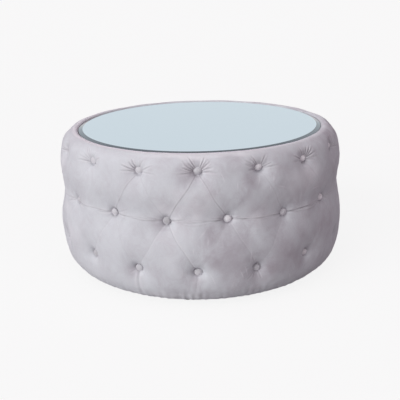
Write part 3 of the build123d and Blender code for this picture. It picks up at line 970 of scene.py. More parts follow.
def settle():
    """The cloth's movement along the normals, on the fine net."""
    columns = np.arange(0, ANGLE_STEPS, SETTLE_STRIDE)
    rows = np.arange(np.argmax(lengths > FINE_FROM), np.argmax(lengths > FINE_TO), SETTLE_STRIDE)
    cloth, start, normals = coarse_cloth(columns, rows)
    ends = run_cloth(cloth, held_places()[np.ix_(columns, rows)])
    bpy.data.objects.remove(cloth)
    change = np.clip(((ends - start) * normals).sum(axis=-1), -SETTLE_CAP, SETTLE_CAP)
    along = np.array([np.interp(lengths, lengths[rows], column, left=0, right=0) for column in change])
    turn = np.arange(ANGLE_STEPS) / SETTLE_STRIDE
    fine = np.array([np.interp(turn, np.arange(len(columns)), row, period=len(columns)) for row in along.T]).T
    return smoothed(fine, SETTLE_STRIDE // 2), change


swell, change = settle()
field += swell
print("settled by", (1000 * np.quantile(change, (0, 0.5, 1))).round(2), "mm: least, middle, most")

# %% [markdown]
# ### Folds from button to button
#
# Between buttons the velvet lies in thin folds, sharp near a button and fainter halfway. A fold is
# a cusp-shaped groove with a low lip on one side, where the spare cloth rolls over, and a soft valley
# round it. It runs on the unrolled skin from one button's edge to the next, wandering a little, and its
# depth follows its own fading curve. The photograph shows a few plain folds at the front and hardly any
# further round, so those few are listed and the rest are drawn faintly by chance. A row of the
# list belongs to a middle button, and gives its folds to the upper left and right and to the lower left
# and right. Level folds run to the next middle button, some with a crease or two beside them.

# %% A fold
FOLD_DEPTH = 0.0018
FOLD_WIDTH = 0.0011
FOLD_LIP = (0.30, 2.4, 1.5)
FOLD_SHADE = 0.60
FOLD_GLOW = 1.30
FOLD_WANDER = 0.0014
FOLD_WIGGLE = 9.0
FOLD_END = 0.006
FOLD_MARGIN = 0.03
CUSP = 1.25
VALLEY_DEPTH = 0.0003
VALLEY_WIDTH = 0.009


def crease(side, width):
    """A groove with a sharp bottom."""
    return np.exp(-(np.abs(side) / width) ** CUSP)


def lip(side, width, share, place, spread):
    """A low ridge beside a groove, its place and its spread counted in widths of the groove."""
    return share * np.exp(-((side - place * width) / (spread * width)) ** 2)


def add_fold(start, end, strength, valley, sag, mid_share):
    """A groove between two points given as (angle, length) pairs."""
    middle = ((start[0] + end[0]) / 2, (start[1] + end[1]) / 2)
    radius = float(np.interp(middle[1], lengths, radii))
    run = np.array([(end[0] - start[0]) * radius, start[1] - end[1]])
    length = float(np.hypot(*run))
    window = Window(*middle, length / 2 + FOLD_MARGIN)
    along, side = window.turned(*(run / length))
    share = np.clip(along / length + 0.5, 0, 1)
    wander = FOLD_WANDER * np.sin(share * FOLD_WIGGLE + rng.uniform(0, 2 * np.pi)) * np.sin(np.pi * share)
    side = side - wander - sag * np.sin(np.pi * share)
    past_end = np.clip(np.abs(along) - length / 2, 0, None)
    fade = mid_share + (1 - mid_share) * np.abs(2 * share - 1) ** 2
    fade = fade * np.exp(-(past_end / FOLD_END) ** 2)
    groove, ridge = crease(side, FOLD_WIDTH), lip(side, FOLD_WIDTH, *FOLD_LIP)
    soft = valley * VALLEY_DEPTH * np.exp(-(side / VALLEY_WIDTH) ** 2)
    window.raise_skin(-strength * FOLD_DEPTH * (groove - ridge) * fade - soft * fade)
    # Painted shade in the groove and a painted highlight on its lip.
    window.mark(painted_shade, FOLD_SHADE * strength * groove * fade)
    window.mark(highlight_and_scratches, FOLD_GLOW * strength * ridge * fade)


# %% Folds between the buttons
FOLD_SIDES = (("top", -1), ("top", 1), ("bottom", -1), ("bottom", 1))
FRONT_FOLDS = {
    -2: (0.00, 0.60, 0.30, 0.20),
    -1: (0.25, 0.75, 0.60, 0.80),
    0: (0.80, 0.08, 0.15, 0.30),
    1: (0.25, 0.05, 0.20, 0.12),
}
LEVEL_FOLDS = {-3: 0.8, -2: 0.8, -1: 0.8, 0: 1.0, 1: 1.1}
EXTRA_CREASES = {-3: (), -2: (0.4,), -1: (0.45, 0.45), 0: (0.5,), 1: (1.0, 0.9)}
FAINT_FOLDS = (0.0, 0.35)
FAINT_LEVELS = (0.6, 0.9)
FAINT_CREASES = (0.3, 0.8)
FOLD_VALLEYS = (0.4, 0.9)
FOLD_SAGS = (-0.002, 0.003)
FOLD_MIDDLES = (0.35, 0.75)
LEVEL_VALLEY = 1.2
LEVEL_SAGS = (-0.001, 0.002)
LEVEL_MIDDLE = 0.75
CREASE_GAP = 0.0060
CREASE_INSET = 0.02
CREASE_TILT = 0.3
CREASE_MIDDLE = 0.6


def unwrapped(place, near):
    """The same place with its angle counted on from near, so that a fold never runs the long way round."""
    return near[0] + short_turn(place[0] - near[0]), place[1]


middles = ROWS["middle"]["places"]
fold_count = 0
for column, here in enumerate(middles):
    place = column_place(column)
    strengths = FRONT_FOLDS.get(place, rng.uniform(*FAINT_FOLDS, len(FOLD_SIDES)))
    for (outer_row, side), strength in zip(FOLD_SIDES, strengths):
        there = ROWS[outer_row]["places"][(column + (side > 0)) % BUTTON_COLUMNS]
        add_fold(here, unwrapped(there, here), strength, rng.uniform(*FOLD_VALLEYS),
                 side * rng.uniform(*FOLD_SAGS), rng.uniform(*FOLD_MIDDLES))
    after = unwrapped(middles[(column + 1) % BUTTON_COLUMNS], here)
    level = LEVEL_FOLDS.get(place, rng.uniform(*FAINT_LEVELS))
    add_fold(here, after, level, LEVEL_VALLEY, rng.uniform(*LEVEL_SAGS), LEVEL_MIDDLE)
    extras = EXTRA_CREASES.get(place, rng.uniform(*FAINT_CREASES, int(rng.integers(0, 3))))
    for number, strength in enumerate(extras):
        offset = (number + 1) * rng.choice([-1, 1]) * CREASE_GAP
        add_fold((here[0] + CREASE_INSET, here[1] + offset * CREASE_TILT),
                 (after[0] - CREASE_INSET, after[1] + offset * CREASE_TILT),
                 strength, 0.0, offset, CREASE_MIDDLE)
    fold_count += len(FOLD_SIDES) + 1 + len(extras)
print(fold_count, "folds")

# %% [markdown]
# ### Pleats
#
# At the rim the spare cloth fans upwards from each top button in thin pleats, most of them along the
# two diagonals, and in a few level ones. The bottom buttons drop a pleat or two to the hem, and the
# middle ones throw a few fine lines sideways. Each pleat is a short groove between two low lips, which
# opens and fades as it leaves the button. A fan is given by its first and last heading in degrees, and
# by how strong it is.

# %% A pleat
BUTTON_EDGE = 0.0100
DEEPEST_PLEAT = 0.0024
PLEAT_WIDTH = 0.0012
PLEAT_LIP = (0.60, 2.3, 1.2)
PLEAT_SHADE = 0.85
PLEAT_GLOW = 1.10
PLEAT_MARGIN = 0.01
PLEAT_START = 5
PLEAT_OPENING = 0.5
pleat_depths = []


def add_pleat(button, heading, length, depth, width=PLEAT_WIDTH, bend=0.0):
    """A groove that leaves a button at a heading, in radians from level towards the rim."""
    window = Window(*button, BUTTON_EDGE + length + PLEAT_MARGIN)
    along, side = window.turned(np.cos(heading), np.sin(heading))
    share = (along - BUTTON_EDGE) / length
    inside = np.clip(share, 0, 1)
    side = side - bend * length * inside ** 2
    fade = np.where(share < 0, np.exp(-(share * PLEAT_START) ** 2), (1 - inside) ** 0.5 * (share < 1))
    fade = fade * (along > 0)
    spread = width * (1 + PLEAT_OPENING * inside)
    groove, ridge = crease(side, spread), lip(np.abs(side), spread, *PLEAT_LIP)
    window.raise_skin(-depth * fade * (groove - ridge))
    # Painted shade in the pleat's groove and a painted highlight on its lips.
    window.mark(painted_shade, depth / DEEPEST_PLEAT * PLEAT_SHADE * groove * fade)
    window.mark(highlight_and_scratches, depth / DEEPEST_PLEAT * PLEAT_GLOW * ridge * fade)
    pleat_depths.append(depth)


def pleat_by_chance(button, heading, aside, lengths, depths, bend, width=PLEAT_WIDTH):
    """A pleat turned aside and bent by up to so much, its length and depth within limits."""
    add_pleat(button, heading + rng.uniform(-aside, aside), rng.uniform(*lengths), rng.uniform(*depths),
              width, rng.uniform(-bend, bend))


# %% Fans at the rim
FAN_SPANS = {"left": (118, 166, 1.0), "right": (22, 66, 0.85), "upright": (78, 106, 0.4)}
FRONT_FANS = {-3: 0.35, -2: 0.55, -1: 1.25, 0: 1.45, 1: 1.25, 2: 1.30, 3: 0.9}
FAN_CHANCE = (0.6, 1.2)
FAN_ASIDE = 0.07
FAN_LENGTHS = (0.026, 0.044)
FAN_DEPTHS = (0.5, 1.0)
FAN_BEND = 0.12
LEVEL_PLEATS = {"aside": 0.16, "lengths": (0.022, 0.048), "depths": (0.0008, 0.0018), "bend": 0.1}

for column, button in enumerate(ROWS["top"]["places"]):
    strength = FRONT_FANS.get(column_place(column), rng.uniform(*FAN_CHANCE))
    for first, last, share in FAN_SPANS.values():
        fan = np.radians(np.linspace(first, last, max(2, int(rng.integers(2, 6) * share))))
        for heading in fan + rng.uniform(-FAN_ASIDE, FAN_ASIDE, len(fan)):
            add_pleat(button, heading, rng.uniform(*FAN_LENGTHS) * share ** 0.5,
                      DEEPEST_PLEAT * strength * share * rng.uniform(*FAN_DEPTHS),
                      bend=rng.uniform(-FAN_BEND, FAN_BEND))
    for side in (0, np.pi):
        for _ in range(int(rng.integers(1, 4))):
            pleat_by_chance(button, side, **LEVEL_PLEATS)
print(len(pleat_depths), "pleats at the top buttons, up to", round(1000 * max(pleat_depths), 1), "mm deep")

# %% Drops to the hem, and fine lines at the middle
FRONT_DROPS = {-2: 0, -1: 2, 0: 1, 1: 0, 2: 0}
DROPS = {"aside": 0.25, "lengths": (0.040, 0.080), "depths": (0.0004, 0.0010), "bend": 0.1, "width": 0.0024}
FINE_HEADINGS = (-75, -20)
FINE_LENGTHS = (0.016, 0.034)
FINE_DEPTHS = (0.0005, 0.0012)
FINE_LINES = {"aside": 0.28, "lengths": (0.02, 0.05), "depths": (0.0006, 0.0016), "bend": 0.12}

for column, button in enumerate(ROWS["bottom"]["places"]):
    for _ in range(FRONT_DROPS.get(column_place(column), int(rng.integers(0, 3)))):
        pleat_by_chance(button, -np.pi / 2, **DROPS)
    for heading in np.radians(rng.uniform(*FINE_HEADINGS, int(rng.integers(0, 4)))):
        add_pleat(button, heading if rng.random() < 0.5 else np.pi - heading,
                  rng.uniform(*FINE_LENGTHS), rng.uniform(*FINE_DEPTHS))
for button in ROWS["middle"]["places"]:
    for side in (0, 0, np.pi, np.pi):
        pleat_by_chance(button, side, **FINE_LINES)
print(len(pleat_depths), "pleats in all")

# %% [markdown]
# ### Unevenness of hand work
#
# No two panels are stuffed alike. A slow waviness, a millimetre or two high at most, keeps the drum from
# looking turned. It is a sum of sines round the drum, so it closes on itself without a seam, and a
# finer one ruffles the hem.

# %% Slow waves
SIDE_WAVES = ((10, (5, 40), (2, 9), 0.0007), (14, (25, 110), (10, 40), 0.00022))
HEM_WAVES = (12, (70, 160), (0, 6), 0.0006)
SIDE_INSETS = (0.012, 0.004)
SIDE_SOFT = 0.004
HEM_WAVES_UP_TO = 0.050
HEM_SOFT = 0.008


def waves(count, around, along, height):
    """A sum of sines with whole turns round the drum and any number of waves to a metre along it."""
    total = np.zeros_like(field)
    for _ in range(count):
        turns = int(rng.integers(*around))
        rate = rng.uniform(*along)
        phase = rng.uniform(0, 2 * np.pi, 2)
        total += (np.sin(turns * angles + phase[0])[:, None]
                  * np.sin(2 * np.pi * rate * lengths + phase[1])[None, :])
    return height * total / np.sqrt(count)


def band(low, high, soft):
    """One between two lengths of the outline, falling off softly outside."""
    rise = 1 / (1 + np.exp(-(lengths - low) / soft))
    fall = 1 / (1 + np.exp((lengths - high) / soft))
    return (rise * fall)[None, :]


side_band = band(FINE_FROM + SIDE_INSETS[0], FINE_TO - SIDE_INSETS[1], SIDE_SOFT)
hem_band = band(length_at_height(HEM_WAVES_UP_TO), FINE_TO, HEM_SOFT)
for facts in SIDE_WAVES:
    field += waves(*facts) * side_band
field += waves(*HEM_WAVES) * hem_band
print("field from", round(float(field.min()) * 1000, 1), "to", round(float(field.max()) * 1000, 1), "mm")

# %% [markdown]
# ### Gathers along the hem
#
# The cloth is gathered before it is stapled under the base, which leaves small lumps, each with a
# shaded tuck beside it.

# %% Gather the hem
GATHER_COUNT = 64
GATHER_HEIGHT = 0.0013
GATHER_REACH = 0.040
GATHER_WIDTHS = (0.002, 0.006)
GATHER_LENGTHS = (0.012, 0.024)
TUCK_PLACE = 1.6
TUCK_LENGTH = 0.014
TUCK_DEPTH = 0.8
TUCK_SHADE = 0.3

hem_length = length_at_height(0.0200)
for angle in rng.uniform(0, 2 * np.pi, GATHER_COUNT):
    window = Window(angle, hem_length, GATHER_REACH)
    width = rng.uniform(*GATHER_WIDTHS)
    ridge = np.exp(-(window.across / width) ** 2 - (window.up / rng.uniform(*GATHER_LENGTHS)) ** 2)
    beside = np.exp(-((window.across - TUCK_PLACE * width) / width) ** 2 - (window.up / TUCK_LENGTH) ** 2)
    height = GATHER_HEIGHT * rng.random() ** 2
    window.raise_skin(height * (ridge - TUCK_DEPTH * beside))
    # Painted shade in the tuck.
    window.mark(painted_shade, TUCK_SHADE * height / GATHER_HEIGHT * beside)
print(GATHER_COUNT, "gathers")

# %% [markdown]
# ### A painted highlight on the crest
#
# Where the skin rolls over the crest, a pale line of painted highlight is laid along it. The low wall
# of the recess is painted pale in the same way, as painted light over its shadow, and the edge of the
# mirror shows it again. Both are palest round the left of the front, towards the window sun, where the
# photograph has them so.

# %% Paint a highlight on the crest
LIT_MIDDLE = -1.4
LIT_HALF_WIDTH = 3.6
CREST_HIGHLIGHT_SHARES = (0.10, 0.88)
CREST_SHIFT = 0.001
CREST_WIDTH = 0.0055
RECESS_HIGHLIGHT_SHARE = 0.60
RECESS_DROP = 0.004


def sector(middle, half_width):
    """One round a place counted in columns from the front, falling to nought beyond its half width."""
    turn = short_turn(angles - FRONT - middle * COLUMN_PITCH)
    return np.exp(-(turn / (half_width * COLUMN_PITCH)) ** 4)[:, None]


lit = sector(LIT_MIDDLE, LIT_HALF_WIDTH)
crest_painted_light = np.exp(-((lengths - crest_length + CREST_SHIFT) / CREST_WIDTH) ** 2)
crest_painted_light = (CREST_HIGHLIGHT_SHARES[0] + CREST_HIGHLIGHT_SHARES[1] * lit) * crest_painted_light
recess_painted_light = RECESS_HIGHLIGHT_SHARE * lit * (lengths < crest_length - RECESS_DROP)
highlight_and_scratches = np.maximum(highlight_and_scratches, np.maximum(crest_painted_light, recess_painted_light))
print("pile opened on the crest, up to", round(float(crest_painted_light.max()), 2))

# %% [markdown]
# ### Brushed patches and painted light
#
# Hands and the roll on the workbench leave velvet with patches of a palm's size that lean one way or
# the other, far stronger than the fine mottling: pale where the pile leans one way and mauve the other.
# The same patches paint light and shade: the large ones at the front are listed one by one as the
# photograph shows them, and many of them are painted shade beside the buttons and down the shaded right,
# or a painted highlight along the crest. The rest of the drum gets others by chance, all with wandering
# edges. A row of the list is a column counted from the front, a height, the patch's reach across and up,
# and how far its pile leans, which is also how strong its painted light or shade is. A last mask says
# where the nap is ruffled into streaks, and the cloth at the left of the front lies calm.

# %% Stroke the nap, and paint light and shade
STROKE_WAVES = (16, (12, 60), (4, 16), 0.7)
STROKE_WANDER = 0.30
STROKE_REACH = 1.8
STROKE_EDGE = (1.35, 1.10)
CHANCE_STROKES = 34
CHANCE_COLUMNS = (3.4, BUTTON_COLUMNS - 2.4)
CHANCE_STROKE = {"height": (0.06, 0.38), "across": (0.025, 0.08), "up": (0.02, 0.06), "share": (0.12, 0.36)}
FRONT_NAP_AND_PAINTED_LIGHT = [
    (-0.15, 0.300, 0.080, 0.050, 0.34), (-0.40, 0.190, 0.060, 0.065, 0.22),
    (0.45, 0.175, 0.062, 0.085, -0.46), (1.90, 0.325, 0.095, 0.045, 0.34),
    (1.55, 0.115, 0.075, 0.055, -0.42), (2.30, 0.200, 0.090, 0.080, -0.32),
    (-0.14, 0.360, 0.040, 0.034, -0.50), (-0.57, 0.234, 0.032, 0.024, -0.42),
    (-1.14, 0.091, 0.024, 0.020, -0.32), (-0.07, 0.081, 0.026, 0.022, -0.55),
    (-0.16, 0.108, 0.036, 0.022, 0.20), (0.89, 0.089, 0.026, 0.020, -0.55),
    (1.10, 0.086, 0.034, 0.036, -0.50), (-0.42, 0.262, 0.055, 0.026, 0.26),
    (0.30, 0.226, 0.036, 0.022, -0.26), (1.42, 0.285, 0.048, 0.030, 0.25),
    (2.42, 0.285, 0.050, 0.028, 0.26), (-0.36, 0.030, 0.140, 0.018, 0.50),
    (0.90, 0.345, 0.030, 0.026, -0.30), (-0.05, 0.4075, 0.170, 0.012, 0.55),
    (1.45, 0.396, 0.075, 0.022, -0.26), (3.60, 0.402, 0.150, 0.024, -0.80),
    (2.95, 0.350, 0.070, 0.080, -0.24), (0.95, 0.255, 0.055, 0.050, 0.16),
]
skin_nap_and_painted_light = np.zeros_like(field)
wander = waves(*STROKE_WAVES)


def stroke(column, height, across, up, share):
    """Lean the pile, or paint light or shade, over a patch; its edge wanders, softer than a hand is wide."""
    window = Window(FRONT + column * COLUMN_PITCH, length_at_height(height), STROKE_REACH * max(across, up))
    place = np.ix_(window.columns, window.rows)
    distance = np.hypot(window.across / across, window.up / up) + STROKE_WANDER * wander[place]
    edge = np.clip((STROKE_EDGE[0] - distance) / STROKE_EDGE[1], 0, 1)
    skin_nap_and_painted_light[place] = np.clip(skin_nap_and_painted_light[place] + share * edge * edge * (3 - 2 * edge), -1, 1)


# The front patches are mostly painted shade and painted highlights.
for facts in FRONT_NAP_AND_PAINTED_LIGHT:
    stroke(*facts)
for column in rng.uniform(*CHANCE_COLUMNS, CHANCE_STROKES):
    height, across, up, share = (rng.uniform(*limits) for limits in CHANCE_STROKE.values())
    stroke(column, height, across, up, share * rng.choice([-1, 1]))
print("stroked from", round(float(skin_nap_and_painted_light.min()), 2), "to", round(float(skin_nap_and_painted_light.max()), 2))

# %% Ruffle the nap
RUFFLE_WAVES = (18, (6, 40), (3, 12), 1.0)
RUFFLE_MEAN = 0.55
RUFFLE_SWING = 0.8
CALM_SECTOR = (-2.1, 1.6)
CALM_SHARE = 0.75

ruffled = np.clip(RUFFLE_MEAN + RUFFLE_SWING * waves(*RUFFLE_WAVES), 0, 1)
ruffled *= 1 - CALM_SHARE * sector(*CALM_SECTOR)
print("ruffled by", round(float(ruffled.mean()), 2), "on average")

# %% [markdown]
# ### Scratches in the pile
#
# A nail or a zip that brushes velvet leaves a thin pale line, a few centimetres long, where the pile
# stands open. They run mostly up and down, and show best where the light skims the cloth.

# %% Scratch the pile
SCRATCH_COUNT = 150
SCRATCH_WIDTH = 0.0012
SCRATCH_BEND = 0.15
SCRATCH_COLUMNS = (-0.3, BUTTON_COLUMNS - 2.5)
SCRATCH_HEIGHTS = (0.05, 0.38)
SCRATCH_LENGTHS = (0.012, 0.040)
SCRATCH_LEAN = 0.5
SCRATCH_SHARES = (0.15, 0.55)


def scratch(column, height, length, heading, share):
    """A thin line of open pile, bent a little and tapered at both ends."""
    window = Window(FRONT + column * COLUMN_PITCH, length_at_height(height), length)
    along, side = window.turned(np.cos(heading), np.sin(heading))
    side = side - SCRATCH_BEND * along ** 2 / length
    ends = np.clip(1.2 - np.abs(along) / (0.5 * length), 0, 1)
    window.mark(highlight_and_scratches, share * ends * np.exp(-(side / SCRATCH_WIDTH) ** 2))


for column in rng.uniform(*SCRATCH_COLUMNS, SCRATCH_COUNT):
    scratch(column, rng.uniform(*SCRATCH_HEIGHTS), rng.uniform(*SCRATCH_LENGTHS),
            np.pi / 2 + rng.normal(0, SCRATCH_LEAN), rng.uniform(*SCRATCH_SHARES))
print(SCRATCH_COUNT, "scratches")

# %% [markdown]
# ## The padded panels
#
# The field is laid back on the drum. The cover is sewn from four panels, so each panel is a piece of
# its own, closed at the back where it lies on the wall and at its two ends. The normals come from the
# whole net, so that light runs on over a seam as it does over velvet that is sewn with the pile.

# %% Lay the field on the drum
skin, skin_normals = skin_points()
halfway = len(lengths) // 2
outwards = (skin_normals[:, halfway, :2] * skin[:, halfway, :2]).sum(axis=1).min() > 0
print("skin normals point outwards:", bool(outwards))

# %% The panels' back
BACK_GAP = 0.0004
BACK_RADIUS = WALL_RADIUS + BACK_GAP
RECESS_BACK_RADIUS = 0.3628
BACK_OUTLINE = [
    (BACK_RADIUS, HEM_HEIGHT + 0.003), (BACK_RADIUS, 0.20), (BACK_RADIUS, WALL_TOP + BACK_GAP),
    (RECESS_BACK_RADIUS, WALL_TOP + BACK_GAP), (RECESS_BACK_RADIUS, DECK_TOP + 0.0035),
    (OUTLINE[0][0], DECK_TOP + BACK_GAP),
]
print("back in", len(BACK_OUTLINE), "points, from the hem up the wall and into the recess")

# %% Build the padded panels
PANELS = 4
SKIN_MARKS = {"painted_shade": painted_shade, "highlight_and_scratches": highlight_and_scratches, "skin_nap_and_painted_light": skin_nap_and_painted_light, "ruffled": ruffled}


def build_panel(number):
    """Columns of the skin from seam to seam, with a back and two closed ends."""
    share = ANGLE_STEPS // PANELS
    columns = np.arange((number - 1) * share, number * share + 1) % ANGLE_STEPS
    turn = angles[columns][:, None]
    back_r, back_z = np.array(BACK_OUTLINE).T
    back = np.stack([back_r * np.cos(turn), back_r * np.sin(turn), back_z + 0 * turn], axis=-1)
    inward = np.stack([-np.cos(turn), -np.sin(turn), 0 * turn], axis=-1) + 0 * back
    points = np.concatenate([skin[columns], back], axis=1)
    normals = np.concatenate([skin_normals[columns], inward], axis=1)
    count, ring = points.shape[:2]
    index = np.arange(count * ring).reshape(count, ring)
    here, below = index, np.roll(index, -1, axis=1)
    faces = np.stack([here[:-1], below[:-1], below[1:], here[1:]], axis=-1).reshape(-1, 4)
    mesh = bpy.data.meshes.new(f"velvet_pad_{number}")
    ends = [index[0][::-1].tolist(), index[-1].tolist()]
    mesh.from_pydata(points.reshape(-1, 3), [], faces.tolist() + ends)
    mesh.polygons.foreach_set("use_smooth", [True] * len(faces) + [False] * len(ends))
    mesh.normals_split_custom_set_from_vertices(normals.reshape(-1, 3))
    for name, marks in SKIN_MARKS.items():
        shares = np.concatenate([marks[columns], np.zeros((count, ring - len(lengths)))], axis=1)
        mesh.attributes.new(name, "FLOAT", "POINT").data.foreach_set("value", shares.reshape(-1))
    mesh.materials.append(velvet)
    piece = stand(f"velvet_pad_{number}", mesh)
    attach(piece, "drum")
    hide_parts(f"velvet_panel_{number}", f"foam_panel_{number}")
    return piece


pads = [build_panel(number) for number in range(1, PANELS + 1)]
print("pads:", [len(pad.data.polygons) for pad in pads], "faces")

# %% [markdown]
# ## Covered buttons
#
# A covered button is a metal cap under a disc of the same velvet, gathered at the back. It reads as a
# low dome with a soft edge and a hint of puckers round the rim. A turned dome with a rippled edge says
# that in a few rings, each given by its share of the radius and of the height. Each button is turned
# and tilted a little by its twine, and three at the right of the front are tilted further.

# %% The points of a button
BUTTON_RINGS = [(0.0, 1.0), (0.25, 0.975), (0.48, 0.90), (0.68, 0.77), (0.84, 0.58), (0.94, 0.36),
                (0.99, 0.18), (1.0, 0.06), (0.97, -0.05), (0.86, -0.12), (0.60, -0.14)]
BUTTON_SEGMENTS = 40
BUTTON_PUCKERS = 14
PUCKER_DEPTH = 0.012
BUTTON_SQUASH = 0.90
UP = Vector((0, 0, 1))


def button_points(place, outward, twist, tilt):
    """The points of one button on a place of the drum, facing a little aside and up by its tilt."""
    face_way = (outward + UP.cross(outward).normalized() * tilt[0] + UP * tilt[1]).normalized()
    side = UP.cross(face_way).normalized()
    up = face_way.cross(side)
    points = []
    for reach_share, rise_share in BUTTON_RINGS:
        for segment in range(BUTTON_SEGMENTS):
            turn = 2 * np.pi * segment / BUTTON_SEGMENTS
            ripple = 1 + PUCKER_DEPTH * np.sin(BUTTON_PUCKERS * turn + twist) * reach_share ** 4
            flat = side * np.cos(turn) + up * (BUTTON_SQUASH * np.sin(turn))
            flat = flat * (BUTTON_RADIUS * reach_share * ripple)
            points.append(place + flat + face_way * (BUTTON_DOME * rise_share))
    return points


def button_faces(start):
    """Quads from ring to ring and a last face that closes the back, counted on from a first point."""
    faces = []
    for ring in range(len(BUTTON_RINGS) - 1):
        a, b = start + ring * BUTTON_SEGMENTS, start + (ring + 1) * BUTTON_SEGMENTS
        for segment in range(BUTTON_SEGMENTS):
            after = (segment + 1) % BUTTON_SEGMENTS
            faces.append((a + segment, b + segment, b + after, a + after))
    last = start + (len(BUTTON_RINGS) - 1) * BUTTON_SEGMENTS
    return faces + [tuple(last + segment for segment in range(BUTTON_SEGMENTS))[::-1]]


print("button of", len(BUTTON_RINGS) * BUTTON_SEGMENTS, "points")

# %% Build the buttons
CHANCE_TILT = 0.14
CHANCE_TWIST = 6
CHANCE_NAP = (-0.4, 0.5)
# At the front the buttons' nap is painted light: paler for a painted highlight, darker for painted shade.
FRONT_NAPS_AND_PAINTED_LIGHT = {
    "top": {-3: 0.1, -2: 0.1, -1: 0.15, 0: -0.05, 1: 0.6, 2: 1.0, 3: 1.0},
    "middle": {-3: -0.2, -2: 0.05, -1: -0.5, 0: 0.5, 1: 0.1, 2: 1.0, 3: 0.9},
    "bottom": {-3: -0.4, -2: -0.4, -1: -0.1, 0: 0.1, 1: 0.0, 2: 0.8, 3: 0.8},
}
FRONT_TILTS = {2: (-0.36, 0.12), 3: (-0.50, 0.10), 4: (-0.30, 0.0)}


def build_buttons(row):
    """One piece for a row of buttons, each with its nap tone and painted light stored on its points."""
    facts = ROWS[row]
    points, faces, naps = [], [], []
    for column, angle in enumerate(facts["angles"]):
        outward = Vector((np.cos(angle), np.sin(angle), 0))
        place = outward * (facts["crest"] - BUTTON_DOME) + Vector((0, 0, facts["heights"][column]))
        tilt = FRONT_TILTS.get(column_place(column), rng.uniform(-CHANCE_TILT, CHANCE_TILT, 2))
        faces += button_faces(len(points))
        made = button_points(place, outward, rng.uniform(0, CHANCE_TWIST), tilt)
        points += made
        naps += [FRONT_NAPS_AND_PAINTED_LIGHT[row].get(column_place(column), rng.uniform(*CHANCE_NAP))] * len(made)
    mesh = bpy.data.meshes.new(f"buttons_{row}")
    mesh.from_pydata([tuple(p) for p in points], [], faces)
    mesh.polygons.foreach_set("use_smooth", np.ones(len(mesh.polygons), bool))
    mesh.attributes.new("button_nap_and_painted_light", "FLOAT", "POINT").data.foreach_set("value", naps)
    mesh.materials.append(button_velvet)
    piece = stand(f"covered_buttons_{row}", mesh)
    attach(piece, "drum")
    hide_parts(f"buttons_{row}_row")
    return len(mesh.polygons)


print("covered buttons:", [build_buttons(row) for row in ROWS], "faces")

# %% [markdown]
# ## Dust cover
#
# The black sheet under the base is spun-bonded cloth, cut as a disc with a hole for each glide and held
# by a ring of staples. It hangs a millimetre or so between them, in soft waves that run in from the
# edge, and its middle is slack. The disc is filled with triangles between its edge, its holes and an
# even scatter of points, which leaves the holes round, and a formula lets it sag.

# %% The flat disc with its holes
COVER_STEP = 0.0075
EDGE_POINTS = 16 * BUTTON_COLUMNS
GLIDES = 8
GLIDE_BORE = 0.0085
BORE_POINTS = 24
BORE_MARGIN = 0.002
glide_places = [sum(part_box(f"foot_{number}"), Vector()) / 2 for number in range(1, GLIDES + 1)]
cover_radius = reach("dust_cover")


def ring_of(middle, radius, count):
    turn = 2 * np.pi * np.arange(count) / count
    return np.stack([middle[0] + radius * np.cos(turn), middle[1] + radius * np.sin(turn)], axis=-1)


def from_glides(x, y):
    """The distance to the nearest glide's middle."""
    return np.min([np.hypot(x - place.x, y - place.y) for place in glide_places], axis=0)


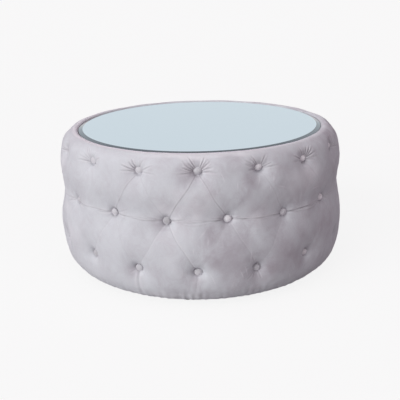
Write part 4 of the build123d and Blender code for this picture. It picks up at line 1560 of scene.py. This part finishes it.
def cover_net():
    """Points and triangles of the flat disc with its holes."""
    edge = ring_of((0, 0), cover_radius, EDGE_POINTS)
    bores = [ring_of(place, GLIDE_BORE, BORE_POINTS) for place in glide_places]
    line = np.arange(-cover_radius, cover_radius, COVER_STEP)
    x, y = np.meshgrid(line, line * np.sqrt(0.75))
    x = x + COVER_STEP / 2 * (np.arange(len(line)) % 2)[:, None]
    inside = from_glides(x, y) > GLIDE_BORE + BORE_MARGIN
    inside &= np.hypot(x, y) < cover_radius - COVER_STEP / 2
    points = np.vstack([edge, *bores, np.stack([x[inside], y[inside]], axis=-1)])
    made, _, faces, *_ = delaunay_2d_cdt([Vector(point) for point in points], [], [], 0, 1e-6)
    made = np.array(made)
    faces = np.array(faces)
    middle = made[faces].mean(axis=1)
    return made, faces[from_glides(*middle.T) > GLIDE_BORE]


print("disc of", round(2 * cover_radius, 4), "m with", len(glide_places), "holes")

# %% Build the dust cover
COVER_SAG = 0.0010
COVER_THICKNESS = 0.0003
COVER_HELD = 0.03
COVER_SLACK = 0.7
COVER_RIPPLE = 0.2
staple_points = node_points("dust_cover_staples")
staple_turn = float(np.arctan2(*staple_points[staple_points[:, 0].argmax(), 1::-1]))


def cover_drop(x, y):
    """How far the sheet hangs below the line of its staples."""
    share = np.hypot(x, y) / cover_radius
    turn = np.arctan2(y, x)
    between = 0.5 - 0.5 * np.cos(BUTTON_COLUMNS * (turn - staple_turn))
    waved = between * share ** 3 + COVER_SLACK * (1 - share ** 2)
    ripple = COVER_RIPPLE * np.sin(9 * turn + 22 * share) * np.sin(np.pi * share)
    held = np.clip((from_glides(x, y) - GLIDE_BORE) / COVER_HELD, 0, 1)
    return COVER_SAG * (waved + ripple) * held


def build_dust_cover():
    """The disc and its underside, joined by a thin wall along every free edge."""
    points, faces = cover_net()
    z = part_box("dust_cover")[1].z - BACK_GAP - cover_drop(*points.T)
    count = len(points)
    upper = np.column_stack([points, z])
    lower = np.column_stack([points, z - COVER_THICKNESS])
    mesh = bpy.data.meshes.new("dust_sheet")
    mesh.from_pydata(np.vstack([upper, lower]), [], np.vstack([faces, faces[:, ::-1] + count]).tolist())
    net = bmesh.new()
    net.from_mesh(mesh)
    net.verts.ensure_lookup_table()
    for edge in [edge for edge in net.edges if edge.is_boundary and edge.verts[0].index < count]:
        a, b = (vertex.index for vertex in edge.verts)
        net.faces.new([net.verts[place] for place in (a, b, b + count, a + count)])
    bmesh.ops.recalc_face_normals(net, faces=net.faces)
    net.to_mesh(mesh)
    net.free()
    mesh.materials.append(finish_by_slot["dust_cloth"])
    piece = stand("dust_sheet", mesh)
    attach(piece, "drum")
    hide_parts("dust_cover")
    return piece


dust_sheet = build_dust_cover()
